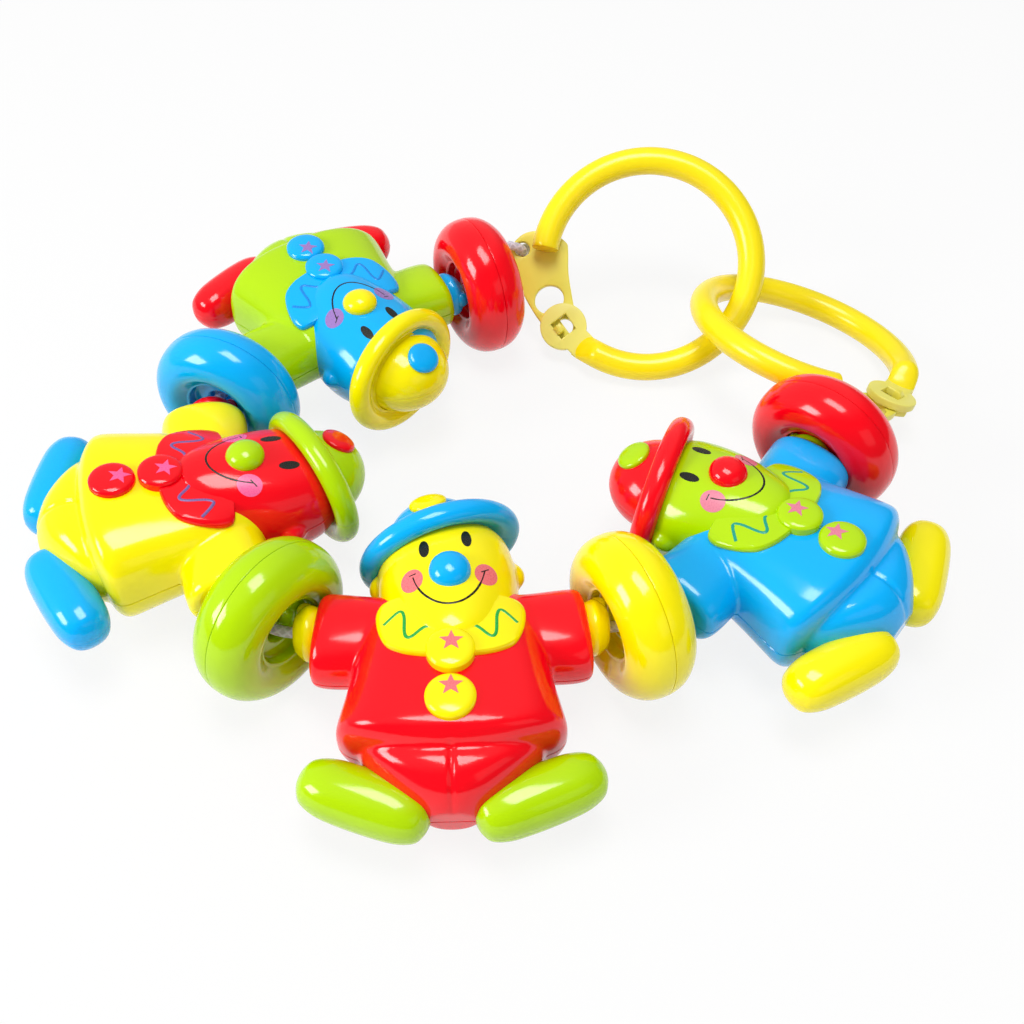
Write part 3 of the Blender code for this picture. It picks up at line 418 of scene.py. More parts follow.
# Prints, in the figure's frame. Eyes and cheeks: middle, half width, half height
EYES = (((-5.7, 13.2), 1.1, 2.4), ((3.4, 16.0), 1.1, 2.35))
CHEEKS = (((-8.1, 5.1), 2.35, 2.9), ((7.5, 6.4), 2.4, 2.8))
SMILE = (
    (-7.9, 5.9),
    (-7.1, 3.6),
    (-5.5, 1.0),
    (-2.9, -1.2),
    (-0.1, -1.9),
    (2.6, -1.1),
    (4.9, 1.1),
    (6.4, 4.0),
    (7.3, 7.4),
)
SMILE_TICKS = (((-8.7, 6.4), (-7.3, 6.7)), ((6.5, 6.8), (8.1, 7.9)))
STAR_RADIUS = 2.6
STAR_WAIST = 0.42
STAR_POINTS = 5
STAR_SIDE_STEPS = 4
STARS = ((0.2, -10.9), (0.1, -20.9))
ZIGZAG = (
    (-13.8, -5.1),
    (-10.7, -2.1),
    (-9.6, -3.4),
    (-9.3, -8.0),
    (-8.1, -9.0),
    (-5.3, -6.6),
    (-2.6, -6.6),
)
LINE_WIDTH = 0.5
LINE_STEPS = 20
# Radius of the sunken thread that a line is drawn with, as a share of the line's width
LINE_THREAD = 0.9
ZIGZAG_WIDTH = 0.72
FILM_LIFT = 0.05
# A film's rings from its edge inwards: share of its outline, height over the surface
FILM_RINGS = ((1.0, -0.1), (1.0, FILM_LIFT), (0.75, FILM_LIFT), (0.4, FILM_LIFT), (0.05, FILM_LIFT))

COLOURS = {
    "red": "#FA0016",
    "lime": "#B2DC00",
    "yellow": "#FFF000",
    "blue": "#00B0FA",
    "clip": "#FCE60C",
    "clip_pale": "#F2E858",
    "clip_tab": "#F4EC74",
    "cord": "#E6E2F2",
    "ink_black": "#14160F",
    "ink_coral": "#F2757A",
    "ink_pink": "#DE7F96",
    "ink_rose": "#F4609C",
    "ink_mauve": "#9A77BC",
    "ink_green": "#1FA845",
    "ink_teal": "#0E9C84",
    "ink_violet": "#7A5C9C",
    "ink_blue": "#0A86DC",
}


# Colour, nodes and materials


def linear(name):
    """A named sRGB hex colour as linear light."""
    text = COLOURS[name].lstrip("#")
    values = [int(text[i : i + 2], 16) / 255 for i in (0, 2, 4)]
    return (*[v / 12.92 if v <= 0.04045 else ((v + 0.055) / 1.055) ** 2.4 for v in values], 1.0)


def add_node(tree, kind, links=(), **settings):
    """Add a node; settings are its properties and, by name, its inputs' values."""
    node = tree.nodes.new(kind)
    for key, value in settings.items():
        if hasattr(node, key):
            setattr(node, key, value)
        else:
            node.inputs[key.replace("_", " ").title()].default_value = value
    for source, socket in links:
        tree.links.new(source, node.inputs[socket])
    return node


def grains(tree, size, detail):
    """Noise fixed to the object, with grains of a size in millimetres."""
    place = add_node(tree, "ShaderNodeTexCoord")
    links = [(place.outputs["Object"], "Vector")]
    return add_node(tree, "ShaderNodeTexNoise", links, scale=1 / (size * MM), detail=detail)


def bumped(tree, shader, height, strength, depth):
    """Let a height move the shader's surface by a depth in millimetres."""
    bump = add_node(tree, "ShaderNodeBump", [(height, "Height")], strength=strength, distance=depth * MM)
    tree.links.new(bump.outputs["Normal"], shader.inputs["Normal"])


def calculated(tree, operation, *values):
    """The result of a calculation on one or two inputs, each a socket or a plain number."""
    node = add_node(tree, "ShaderNodeMath", operation=operation)
    for place, value in enumerate(values):
        if isinstance(value, bpy.types.NodeSocket):
            tree.links.new(value, node.inputs[place])
        else:
            node.inputs[place].default_value = value
    return node.outputs[0]


def new_material(name):
    """An empty Principled material with its tree and shader."""
    material = bpy.data.materials.new(name)
    material.use_nodes = True
    tree = material.node_tree
    return material, tree, tree.nodes["Principled BSDF"]


def moulded_abs(name, colour, roughness=0.12):
    """Injection-moulded ABS, polished in the tool: a hard gloss with faint orange peel."""
    material, tree, shader = new_material(name)
    shader.inputs["Base Color"].default_value = linear(colour)
    shader.inputs["IOR"].default_value = 1.50
    cloud = [(grains(tree, 9, 2.0).outputs["Fac"], "Value")]
    rough = add_node(tree, "ShaderNodeMapRange", cloud, to_min=roughness - 0.03, to_max=roughness + 0.05)
    tree.links.new(rough.outputs["Result"], shader.inputs["Roughness"])
    bumped(tree, shader, grains(tree, 1.6, 1.0).outputs["Fac"], 0.10, 0.05)
    return material


def clip_plastic(name, colour, roughness):
    """Flexible polypropylene: softer gloss than the figures, a little milky."""
    material, tree, shader = new_material(name)
    shader.inputs["Base Color"].default_value = linear(colour)
    shader.inputs["IOR"].default_value = 1.49
    shader.inputs["Roughness"].default_value = roughness
    bumped(tree, shader, grains(tree, 0.9, 2.0).outputs["Fac"], 0.12, 0.04)
    return material


def pad_ink(name, colour):
    """Pad-printed ink: flat colour, a touch duller than the plastic under it."""
    material, tree, shader = new_material(name)
    shader.inputs["Base Color"].default_value = linear(colour)
    shader.inputs["IOR"].default_value = 1.50
    grain = [(grains(tree, 0.4, 1.0).outputs["Fac"], "Value")]
    rough = add_node(tree, "ShaderNodeMapRange", grain, to_min=0.22, to_max=0.34)
    tree.links.new(rough.outputs["Result"], shader.inputs["Roughness"])
    return material


def braided_cord(name):
    """Braided polyester cord: strands that cross in a fine diamond weave, with the gaps between them darkened in
    colour as painted shade.
    """
    material, tree, shader = new_material(name)
    shader.inputs["IOR"].default_value = 1.5
    shader.inputs["Roughness"].default_value = 0.62
    shader.inputs["Sheen Weight"].default_value = 0.25
    along = add_node(tree, "ShaderNodeAttribute", attribute_name="along")
    turn = add_node(tree, "ShaderNodeAttribute", attribute_name="turn")
    split = add_node(tree, "ShaderNodeSeparateXYZ", [(turn.outputs["Vector"], 0)])
    angle = calculated(tree, "ARCTAN2", split.outputs["Y"], split.outputs["X"])
    strands = calculated(tree, "MULTIPLY", angle, BRAID_STRANDS)
    pitch = calculated(tree, "MULTIPLY", along.outputs["Fac"], math.pi / (BRAID_PITCH * MM))
    waves = []
    for operation in ("ADD", "SUBTRACT"):
        waves.append(calculated(tree, "SINE", calculated(tree, operation, pitch, strands)))
    weave = calculated(tree, "MAXIMUM", *waves)
    bumped(tree, shader, weave, 0.5, 0.12)
    # Painted shade: the cord's colour is darkened in the gaps between the strands
    shade = add_node(tree, "ShaderNodeMix", [(weave, 0)], data_type="RGBA")
    shade.inputs[6].default_value = (*[BRAID_GAP_SHADE * c for c in linear("cord")[:3]], 1.0)
    shade.inputs[7].default_value = linear("cord")
    tree.links.new(shade.outputs[2], shader.inputs["Base Color"])
    return material


MATERIALS = {name: moulded_abs("abs_" + name, name) for name in ("red", "lime", "yellow", "blue")}
MATERIALS["clip"] = clip_plastic("polypropylene_arm", "clip", 0.24)
MATERIALS["clip_pale"] = clip_plastic("polypropylene_plate", "clip_pale", 0.34)
MATERIALS["clip_tab"] = clip_plastic("polypropylene_tab", "clip_tab", 0.34)
MATERIALS["cord"] = braided_cord("braided_polyester")
for ink_name in [name for name in COLOURS if name.startswith("ink_")]:
    MATERIALS[ink_name] = pad_ink("pad_print_" + ink_name[4:], ink_name)


# Shaping tools


def new_object(name, data):
    """A new object in the scene."""
    made = bpy.data.objects.new(name, data)
    bpy.context.scene.collection.objects.link(made)
    return made


def evaluated(holder):
    """What an object's modifiers or curve settings make of it. The object itself goes."""
    graph = bpy.context.evaluated_depsgraph_get()
    mesh = bpy.data.meshes.new_from_object(holder.evaluated_get(graph))
    bpy.data.objects.remove(holder, do_unlink=True)
    bm = bmesh.new()
    bm.from_mesh(mesh)
    bpy.data.meshes.remove(mesh)
    return bm


def whole(bm):
    """Every vertex, edge and face."""
    return bm.verts[:] + bm.edges[:] + bm.faces[:]


def close_holes(bm):
    """Fill what is open and turn all faces outwards."""
    bmesh.ops.holes_fill(bm, edges=[edge for edge in bm.edges if edge.is_boundary])
    bmesh.ops.recalc_face_normals(bm, faces=bm.faces)


def eased(rows, between):
    """The rows with smooth ones added between them."""
    result = []
    for i in range(len(rows) - 1):
        a, b, c, d = rows[max(i - 1, 0)], rows[i], rows[i + 1], rows[min(i + 2, len(rows) - 1)]
        for k in range(between):
            t = k / between
            row = []
            for p, q, r, s in zip(a, b, c, d):
                row.append(
                    q
                    + 0.5 * t * (r - p)
                    + t * t * (p - 2.5 * q + 2 * r - 0.5 * s)
                    + t**3 * (1.5 * (q - r) + 0.5 * (s - p))
                )
            result.append(tuple(row))
    result.append(tuple(rows[-1]))
    return result


def squared(c, s, half_x, half_y, squareness):
    """A point of a unit circle moved out to a superellipse."""
    x = math.copysign(abs(c) ** (2 / squareness), c) * half_x
    y = math.copysign(abs(s) ** (2 / squareness), s) * half_y
    return x, y


def skinned(sections, steps, shape, closed=False):
    """A form bridged through one circle for each section, which shape moves into place."""
    bm = bmesh.new()
    loops = []
    for section in sections:
        made = bmesh.ops.create_circle(bm, cap_ends=False, segments=steps, radius=1.0)
        for vert in made["verts"]:
            vert.co = shape(section, vert.co.x, vert.co.y)
        bm.edges.ensure_lookup_table()
        loops.append(bm.edges[-steps:])
    pairs = list(zip(loops, loops[1:]))
    if closed:
        pairs.append((loops[-1], loops[0]))
    for lower, upper in pairs:
        bmesh.ops.bridge_loops(bm, edges=lower + upper)
    close_holes(bm)
    return bm


def turned(profile, steps, closed=False):
    """A profile of radius and height turned about Z. An open profile ends on the axis."""
    bm = bmesh.new()
    verts = [bm.verts.new((radius, 0.0, height)) for radius, height in profile]
    edges = [bm.edges.new(pair) for pair in zip(verts, verts[1:])]
    if closed:
        edges.append(bm.edges.new((verts[-1], verts[0])))
    bmesh.ops.spin(
        bm,
        geom=verts + edges,
        axis=(0, 0, 1),
        cent=(0, 0, 0),
        angle=2 * math.pi,
        steps=steps,
        use_merge=True,
    )
    bmesh.ops.remove_doubles(bm, verts=bm.verts, dist=WELD_DISTANCE)
    bmesh.ops.recalc_face_normals(bm, faces=bm.faces)
    return bm


def merged(*parts):
    """Several bmeshes in one."""
    together = bmesh.new()
    for part in parts:
        mesh = bpy.data.meshes.new("part")
        part.to_mesh(mesh)
        part.free()
        together.from_mesh(mesh)
        bpy.data.meshes.remove(mesh)
    return together


def remeshed(bm):
    """Overlapping closed forms welded into one skin with small fillets, as a mould would leave it."""
    mesh = bpy.data.meshes.new("form")
    bm.to_mesh(mesh)
    bm.free()
    holder = new_object("form", mesh)
    modifier = holder.modifiers.new("weld", "REMESH")
    modifier.mode = "VOXEL"
    modifier.voxel_size = VOXEL
    bm = evaluated(holder)
    bpy.data.meshes.remove(mesh)
    for _ in range(SMOOTHING):
        bmesh.ops.smooth_vert(bm, verts=bm.verts, factor=0.5, use_axis_x=True, use_axis_y=True, use_axis_z=True)
    bmesh.ops.recalc_face_normals(bm, faces=bm.faces)
    return bm


def half_of(bm, side):
    """The front or back half of a form, its edge turned in to the seam line."""
    half = bm.copy()
    for level in (SEAM_REACH, SEAM_HALF):
        bmesh.ops.bisect_plane(
            half,
            geom=whole(half),
            plane_co=(0, 0, side * level),
            plane_no=(0, 0, side),
            clear_inner=level == SEAM_HALF,
        )
    edge = [vert for vert in half.verts if vert.is_boundary]
    half.normal_update()
    moves = [(vert, Vector((vert.normal.x, vert.normal.y, 0.0)).normalized()) for vert in edge]
    for vert, way in moves:
        vert.co -= way * SEAM_DEPTH
    close_holes(half)
    return half


def surface_of(bm):
    """A form's surface to lay other pieces on."""
    return BVHTree.FromBMesh(bm)


def on_surface(surface, x, y, lift):
    """The point over a place on the front, lifted square to the surface."""
    spot, normal, _, _ = surface.ray_cast(Vector((x, y, RAY_START)), Vector((0.0, 0.0, -1.0)))
    return spot + normal * lift, normal


def patch(outline, middle, rings, surface):
    """A patch laid on a surface: rings of its outline, each a share of its size and a lift."""
    bm = bmesh.new()
    centre = Vector((*middle, 0.0))
    made = bmesh.ops.create_circle(bm, cap_ends=False, segments=len(outline), radius=1.0)
    ring = made["verts"]
    for vert, (x, y) in zip(ring, outline):
        vert.co = (x, y, 0.0)
    bm.edges.ensure_lookup_table()
    edges = bm.edges[:]
    layers = [ring]
    for _ in rings[1:]:
        grown = bmesh.ops.extrude_edge_only(bm, edges=edges)["geom"]
        verts = [item for item in grown if isinstance(item, bmesh.types.BMVert)]
        edges = [e for e in grown if isinstance(e, bmesh.types.BMEdge) and e.is_boundary]
        layers.append(verts)
    for (share, lift), verts in zip(rings, layers):
        for vert in verts:
            place = centre + (vert.co - centre) * share
            vert.co, _ = on_surface(surface, place.x, place.y, lift)
    close_holes(bm)
    return bm


def film(outline, middle, surface):
    """A printed patch: ink a few hundredths of a millimetre thick."""
    return patch(outline, middle, FILM_RINGS, surface)


def tube(points, radius, steps, closed=False):
    """A round tube along points."""
    count = len(points)
    ways = []
    for i in range(count):
        before = points[i - 1] if closed or i else points[0]
        after = points[(i + 1) % count] if closed or i < count - 1 else points[-1]
        ways.append((after - before).normalized())
    side = ways[0].orthogonal().normalized()
    sections = []
    for point, way in zip(points, ways):
        side = (side - way * side.dot(way)).normalized()
        sections.append((point, side, way.cross(side)))

    def shape(section, c, s):
        middle, first, second = section
        return middle + (first * c + second * s) * radius

    return skinned(sections, steps, shape, closed)


def ink_line(points, surface, width=LINE_WIDTH):
    """A printed line: a round thread sunk into the surface until only its ink shows."""
    radius = width * LINE_THREAD
    sunk = math.sqrt(radius**2 - (width / 2) ** 2)
    run = []
    for x, y in eased(points, 6):
        spot, _ = on_surface(surface, x, y, -sunk)
        run.append(spot)
    return tube(run, radius, LINE_STEPS)


def as_mesh(bm, name):
    """A finished bmesh in metres, shaded smooth except at real edges."""
    bm.transform(TO_METRES)
    mesh = bpy.data.meshes.new(name)
    bm.to_mesh(mesh)
    bm.free()
    mesh.shade_smooth()
    mesh.set_sharp_from_angle(angle=SHARP_ANGLE)
    return mesh


def add_piece(name, mesh, place, material, body, replaced=()):
    """Set a piece's mesh in place, hang it on its body's empty and hide the nodes that it stands for."""
    mesh.transform(place)
    mesh.name = name
    mesh.materials.clear()
    mesh.materials.append(MATERIALS[material])
    piece = new_object(name, mesh)
    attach(piece, body)
    if replaced:
        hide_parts(*replaced)
    return piece


# One clown figure


def bowed(section, c, s):
    """A section of the body, bowed down in the middle as its hem is."""
    y, half_x, half_z, bow, power = section
    x, z = squared(c, s, half_x, half_z, power if s > 0 else BACK_ROUNDNESS)
    return Vector((x, y - HEM_BOW * bow * (1 - (x / half_x) ** 2), z))


def coat_form():
    """Coat, sleeves and trousers as one skin with the trousers' crease."""
    parts = [skinned(eased(TORSO, 4), TORSO_STEPS, bowed)]
    for side in (1, -1):

        def sleeve(section, c, s, side=side):
            x, half_y, half_z, middle = section
            y, z = squared(c, s, half_y, half_z, SLEEVE_SQUARENESS if s > 0 else BACK_ROUNDNESS)
            return Vector((side * (x - SLEEVE_SLANT * y), y + middle, z))

        parts.append(skinned(eased(SLEEVE, 4), SLEEVE_STEPS, sleeve))
    bm = remeshed(merged(*parts))
    for vert in bm.verts:
        x, y, z = vert.co
        if z > 0 and y < CREASE_TOP:
            fade = min(1.0, (CREASE_TOP - y) / CREASE_FADE)
            vert.co.z -= CREASE_DEPTH * fade * math.exp(-((x / CREASE_WIDTH) ** 2))
    return bm


def head_form():
    """The head with its ears, tilted."""

    def egg(section, c, s):
        y, half_x, half_z = section
        x, z = squared(c, s, half_x, half_z, HEAD_SQUARENESS)
        return Vector((x, y, z))

    parts = [skinned(eased(HEAD, 4), HEAD_STEPS, egg)]
    for side in (1, -1):
        ear = bmesh.new()
        matrix = Matrix.Translation((side * (EAR_REACH - EAR_WIDTH / 2), EAR_HEIGHT, 0.0))
        matrix = matrix @ Matrix.Diagonal((EAR_WIDTH / 2, EAR_WIDTH / 2, EAR_WIDTH * EAR_DEPTH_SHARE, 1.0))
        bmesh.ops.create_uvsphere(ear, u_segments=40, v_segments=24, radius=1.0, matrix=matrix)
        parts.append(ear)
    bm = remeshed(merged(*parts))
    bm.transform(Matrix.Rotation(HEAD_TILT, 4, "Z"))
    return bm


def collar_outline():
    """Both lobes' outline, closed round the neck."""
    side = eased(COLLAR, 5)
    other = [(-x, y) for x, y in reversed(side)]
    points = other + side[1:]
    x, y = points[-1]
    neck = [(x - 2 * x * k / COLLAR_NECK_STEPS, y) for k in range(1, COLLAR_NECK_STEPS)]
    return points + neck


def button_on(surface, size, lift=0.0):
    """A domed button that stands square on the surface."""
    radius, rise, y = size
    spot, normal = on_surface(surface, 0.0, y, lift)
    profile = [(radius, -BUTTON_SINK)] + [(radius * out, rise * up) for out, up in BUTTON_ROUND]
    bm = turned(eased(profile, 3), BUTTON_STEPS)
    close_holes(bm)
    turn = UP.rotation_difference(normal).to_matrix().to_4x4()
    bm.transform(Matrix.Translation(spot) @ turn)
    return bm


def hat_form():
    """Crown, web, brim and hollow underside, turned about Y and narrowed in depth."""
    crown = []
    for k in range(CROWN_STEPS):
        angle = math.pi / 2 * (1 - k / CROWN_STEPS)
        crown.append((CROWN_RADIUS * math.cos(angle), CROWN_HEIGHT * math.sin(angle)))
    brim = []
    for k in range(BRIM_STEPS):
        angle = math.radians(BRIM_FROM - k * (BRIM_FROM - BRIM_TO) / (BRIM_STEPS - 1))
        brim.append((BRIM_MIDDLE + BRIM_TUBE * math.cos(angle), BRIM_TUBE * math.sin(angle)))
    bm = turned([*crown, *HAT_WEB, *brim, *HAT_UNDER], HAT_STEPS)
    bm.transform(Matrix.Rotation(-math.pi / 2, 4, "X"))
    bm.transform(Matrix.Diagonal((1.0, 1.0, HAT_NARROW, 1.0)))
    bmesh.ops.recalc_face_normals(bm, faces=bm.faces)
    return bm


def hat_place():
    """Where the hat sits in the figure's frame, tipped over one ear."""
    return Matrix.Translation(HAT_PLACE) @ Matrix.Rotation(HAT_TILT, 4, "Z")


def hat_disc_form(crown):
    """The round disc on the crown's front, which follows the crown's curve."""
    up, half_x, half_y = HAT_DISC
    outline = oval_outline((0.0, up), half_x, half_y, BUTTON_STEPS)
    bm = patch(outline, (0.0, up), HAT_DISC_ROUND, crown)
    bm.transform(hat_place())
    return bm


def hands_form():
    """Both hands with their thumbs, on the guide tube that the cord runs through."""
    width = HAND_END - HAND_START
    outside = [(HAND_BORE, HAND_END)] + [(HAND_RADIUS * out, HAND_END - width * back) for out, back in HAND_ROUND]
    lie_along_cord = Matrix.Rotation(math.pi / 2, 4, "Y")
    parts = []
    for side in (1, -1):
        hand = turned(eased(outside, 4) + [(HAND_BORE, HAND_START)], HAND_STEPS, closed=True)
        hand.transform(lie_along_cord)
        thumb = bmesh.new()
        middle = (
            HAND_START + width * THUMB_ALONG,
            HAND_RADIUS - THUMB_RADIUS * THUMB_SUNK,
            THUMB_RADIUS * THUMB_FORWARD,
        )
        matrix = Matrix.Translation(middle) @ Matrix.Diagonal((*THUMB_STRETCH, 1.0))
        bmesh.ops.create_uvsphere(thumb, u_segments=32, v_segments=20, radius=THUMB_RADIUS, matrix=matrix)
        hand = merged(hand, thumb)
        if side < 0:
            hand.transform(Matrix.Diagonal((-1.0, 1.0, 1.0, 1.0)))
            bmesh.ops.recalc_face_normals(hand, faces=hand.faces)
        parts.append(hand)
    outer, inner = HAND_BORE + GUIDE_WALL, HAND_BORE
    wall = [(outer, -HAND_START), (outer, HAND_START), (inner, HAND_START), (inner, -HAND_START)]
    guide = turned(wall, GUIDE_STEPS, closed=True)
    guide.transform(lie_along_cord)
    return merged(*parts, guide)


def shoe_form(side):
    """A long round-toed shoe with its seam."""

    def oval(section, c, s):
        x, half_y, half_z = section
        y, z = squared(c, s, half_y, half_z, SHOE_SQUARENESS)
        return Vector((x, y, z))

    bm = skinned(eased(SHOE, 5), SHOE_STEPS, oval)
    bm.transform(Matrix.Translation((*SHOE_PLACE, 0.0)) @ Matrix.Rotation(SHOE_TURN, 4, "Z"))
    if side < 0:
        bm.transform(Matrix.Diagonal((-1.0, 1.0, 1.0, 1.0)))
        bmesh.ops.recalc_face_normals(bm, faces=bm.faces)
    return scored(bm)


def scored(bm):
    """Score the mould's seam line round a form that stays in one piece."""
    for level in (-SEAM_REACH, 0.0, SEAM_REACH):
        bmesh.ops.bisect_plane(bm, geom=whole(bm), plane_co=(0, 0, level), plane_no=(0, 0, 1))
    bm.normal_update()
    line = [(vert, vert.normal.copy()) for vert in bm.verts if abs(vert.co.z) < SEAM_HALF / 10]
    for vert, normal in line:
        vert.co -= normal * SEAM_DEPTH / 2
    return bm


def oval_outline(middle, half_x, half_y, steps=40, turn=0.0):
    """An oval about a middle, turned in its plane."""
    points = []
    for k in range(steps):
        angle = 2 * math.pi * k / steps
        x, y = half_x * math.cos(angle), half_y * math.sin(angle)
        across = x * math.cos(turn) - y * math.sin(turn)
        up = x * math.sin(turn) + y * math.cos(turn)
        points.append((middle[0] + across, middle[1] + up))
    return points


def star_outline(middle):
    """A star, point up, with extra points along its sides."""
    corners = []
    for k in range(2 * STAR_POINTS):
        radius = STAR_RADIUS * (STAR_WAIST if k % 2 else 1.0)
        angle = math.pi / 2 + math.pi * k / STAR_POINTS
        corners.append((middle[0] + radius * math.cos(angle), middle[1] + radius * math.sin(angle)))
    points = []
    for (x0, y0), (x1, y1) in zip(corners, corners[1:] + corners[:1]):
        for k in range(STAR_SIDE_STEPS):
            points.append((x0 + (x1 - x0) * k / STAR_SIDE_STEPS, y0 + (y1 - y0) * k / STAR_SIDE_STEPS))
    return points


def figure_meshes():
    """Every piece of one figure: name, mesh, which colour it takes and the nodes it stands for."""
    coat, head = coat_form(), head_form()
    coat_surface, head_surface = surface_of(coat), surface_of(head)
    collar_rings = [(share, lift * COLLAR_THICKNESS) for share, lift in COLLAR_ROUND]
    collar = patch(collar_outline(), COLLAR_MIDDLE, collar_rings, coat_surface)
    collar_surface = surface_of(collar)
    upper = button_on(coat_surface, UPPER_BUTTON, COLLAR_THICKNESS * BUTTON_ON_COLLAR)
    belly = button_on(coat_surface, BELLY_BUTTON)
    black = []
    for middle, half_x, half_y in EYES:
        black.append(film(oval_outline(middle, half_x, half_y, turn=HEAD_TILT), middle, head_surface))
    black.append(ink_line(SMILE, head_surface))
    for tick in SMILE_TICKS:
        black.append(ink_line(tick, head_surface))
    pink = []
    for middle, half_x, half_y in CHEEKS:
        pink.append(film(oval_outline(middle, half_x, half_y), middle, head_surface))
    stars = [film(star_outline(middle), middle, surface_of(button)) for middle, button in zip(STARS, (upper, belly))]
    other_side = [(-x, y) for x, y in ZIGZAG]
    lines = [ink_line(points, collar_surface, ZIGZAG_WIDTH) for points in (ZIGZAG, other_side)]
    nose = bmesh.new()
    matrix = Matrix.Translation(NOSE_PLACE)
    matrix = matrix @ Matrix.Diagonal((NOSE_WIDTH / 2, NOSE_WIDTH / 2, NOSE_DEPTH / 2, 1.0))
    bmesh.ops.create_uvsphere(nose, u_segments=64, v_segments=40, radius=1.0, matrix=matrix)
    hat = hat_form()
    hat_disc = hat_disc_form(surface_of(hat))
    scored(hat).transform(hat_place())
    pieces = [
        ("coat_front", half_of(coat, 1), COAT, ("coat_front",)),
        ("coat_back", half_of(coat, -1), COAT, ("coat_back",)),
        ("head_front", merged(half_of(head, 1), collar, upper), TRIM, ("head_front",)),
        ("head_back", half_of(head, -1), TRIM, ("head_back",)),
        ("hat", hat, HAT, ("hat",)),
        ("hat_disc", hat_disc, TRIM, ("hat_disc",)),
        ("nose", nose, HAT, ("nose",)),
        ("belly_button", belly, TRIM, ("belly_button",)),
        ("hands", hands_form(), TRIM, ("hands",)),
        ("shoe_left", shoe_form(-1), SHOES, ("shoe_left",)),
        ("shoe_right", shoe_form(1), SHOES, ("shoe_right",)),
        ("eyes_and_smile", merged(*black), "ink_black", ()),
        ("cheeks", merged(*pink), ROSE_INK, ()),
        ("stars", merged(*stars), ROSE_INK, ()),
        ("zigzags", merged(*lines), LINE_INK, ()),
    ]
    coat.free()
    head.free()
    return [(label, as_mesh(bm, label), tint, nodes) for label, bm, tint, nodes in pieces]


def figure_place(name, tip):
    """A figure's frame, from its joint on the cord and its tip."""
    joint = JOINTS[name + "_swing"]
    x = Vector(joint["axis"]).normalized()
    y = UP.cross(x)
    turn = Matrix((x, y, UP)).transposed().to_4x4()
    return Matrix.Translation(joint["pos_m"]) @ turn @ Matrix.Rotation(math.radians(tip), 4, "X")


def dress_figures():
    """All four figures: one moulding in four sets of colours."""
    meshes = figure_meshes()
    for name, (tip, colours, *inks) in FIGURES.items():
        place = figure_place(name, tip)
        for label, mesh, tint, nodes in meshes:
            if tint in (LINE_INK, ROSE_INK):
                tint = inks[tint - LINE_INK]
            material = colours[tint] if isinstance(tint, int) else tint
            replaced = [f"{name}_{node}" for node in nodes]
            add_piece(f"{name}_{label}_moulded", mesh.copy(), place, material, name, replaced)
    for _, mesh, _, _ in meshes:
        bpy.data.meshes.remove(mesh)


# Beads


def bead_form():
    """Half a bead about Z, with the mark that the mould's gate left beside the recess."""
    bm = turned(eased(BEAD, 3), BEAD_STEPS, closed=True)
    away, radius, depth = GATE_MARK
    for vert in bm.verts:
        gap = math.hypot(vert.co.x - away, vert.co.y)
        if gap < 2 * radius and vert.co.z > GATE_ABOVE:
            vert.co.z -= depth * math.exp(-((gap / radius) ** 4))
    bmesh.ops.recalc_face_normals(bm, faces=bm.faces)
    return as_mesh(bm, "bead_half")


def dress_beads():
    """Each bead from two halves, back to back on its joint."""
    half = bead_form()
    for name, colour in BEADS.items():
        joint = JOINTS[name + "_spin"]
        axis = Vector(joint["axis"]).normalized()
        turn = UP.rotation_difference(axis).to_matrix().to_4x4()
        for number, flip in ((1, Matrix.Identity(4)), (2, Matrix.Rotation(math.pi, 4, "X"))):
            place = Matrix.Translation(joint["pos_m"]) @ turn @ flip
            node = f"{name}_half_{number}"
            add_piece(node + "_moulded", half.copy(), place, colour, name, [node])
    bpy.data.meshes.remove(half)


# Ring clips, in a frame with X from the ring's middle to the hub and Z out of the front


def polar(radius, angle, height=0.0):
    """A place given by its distance from the ring's middle, its angle and its height."""
    return Vector((radius * math.cos(angle), radius * math.sin(angle), height))


def clip_place(name):
    """A clip's frame, from the places of its cord hole and its hub."""
    hole, hub = JOINTS[name + "_swing"], JOINTS[name + "_hinge"]
    z = Vector(hub["axis"]).normalized()
    between = Vector(hub["pos_m"]) - Vector(hole["pos_m"])
    between -= z * between.dot(z)
    local = polar(RING_MIDDLE, 0.0) - polar(CORD_HOLE_AWAY, -HUB_TO_TIP)
    first = between.normalized()
    second = z.cross(first)
    angle = -math.atan2(local.y, local.x)
    x = first * math.cos(angle) + second * math.sin(angle)
    turn = Matrix((x, z.cross(x), z)).transposed().to_4x4()
    place = Matrix.Translation(hub["pos_m"]) @ turn
    return place @ Matrix.Translation((-RING_MIDDLE * MM, 0.0, -PLATE_LEVEL * MM))


def flat_moulding(outlines, low, high):
    """A flat moulding with rounded edges: its outline first, then its holes."""
    curve = bpy.data.curves.new("outline", "CURVE")
    curve.dimensions = "2D"
    curve.fill_mode = "BOTH"
    curve.bevel_depth = EDGE_ROUND
    curve.bevel_resolution = 3
    curve.offset = -EDGE_ROUND
    curve.extrude = (high - low) / 2 - EDGE_ROUND
    for outline in outlines:
        spline = curve.splines.new("POLY")
        spline.points.add(len(outline) - 1)
        spline.use_cyclic_u = True
        for place, (x, y) in zip(spline.points, outline):
            place.co = (x, y, 0.0, 1.0)
    bm = evaluated(new_object("outline", curve))
    bmesh.ops.remove_doubles(bm, verts=bm.verts, dist=WELD_DISTANCE)
    bm.transform(Matrix.Translation((0.0, 0.0, (low + high) / 2)))
    bmesh.ops.recalc_face_normals(bm, faces=bm.faces)
    return bm


def hub_point(x, y):
    """A place given from the hub that the arm turns on."""
    return (RING_MIDDLE + x, y)


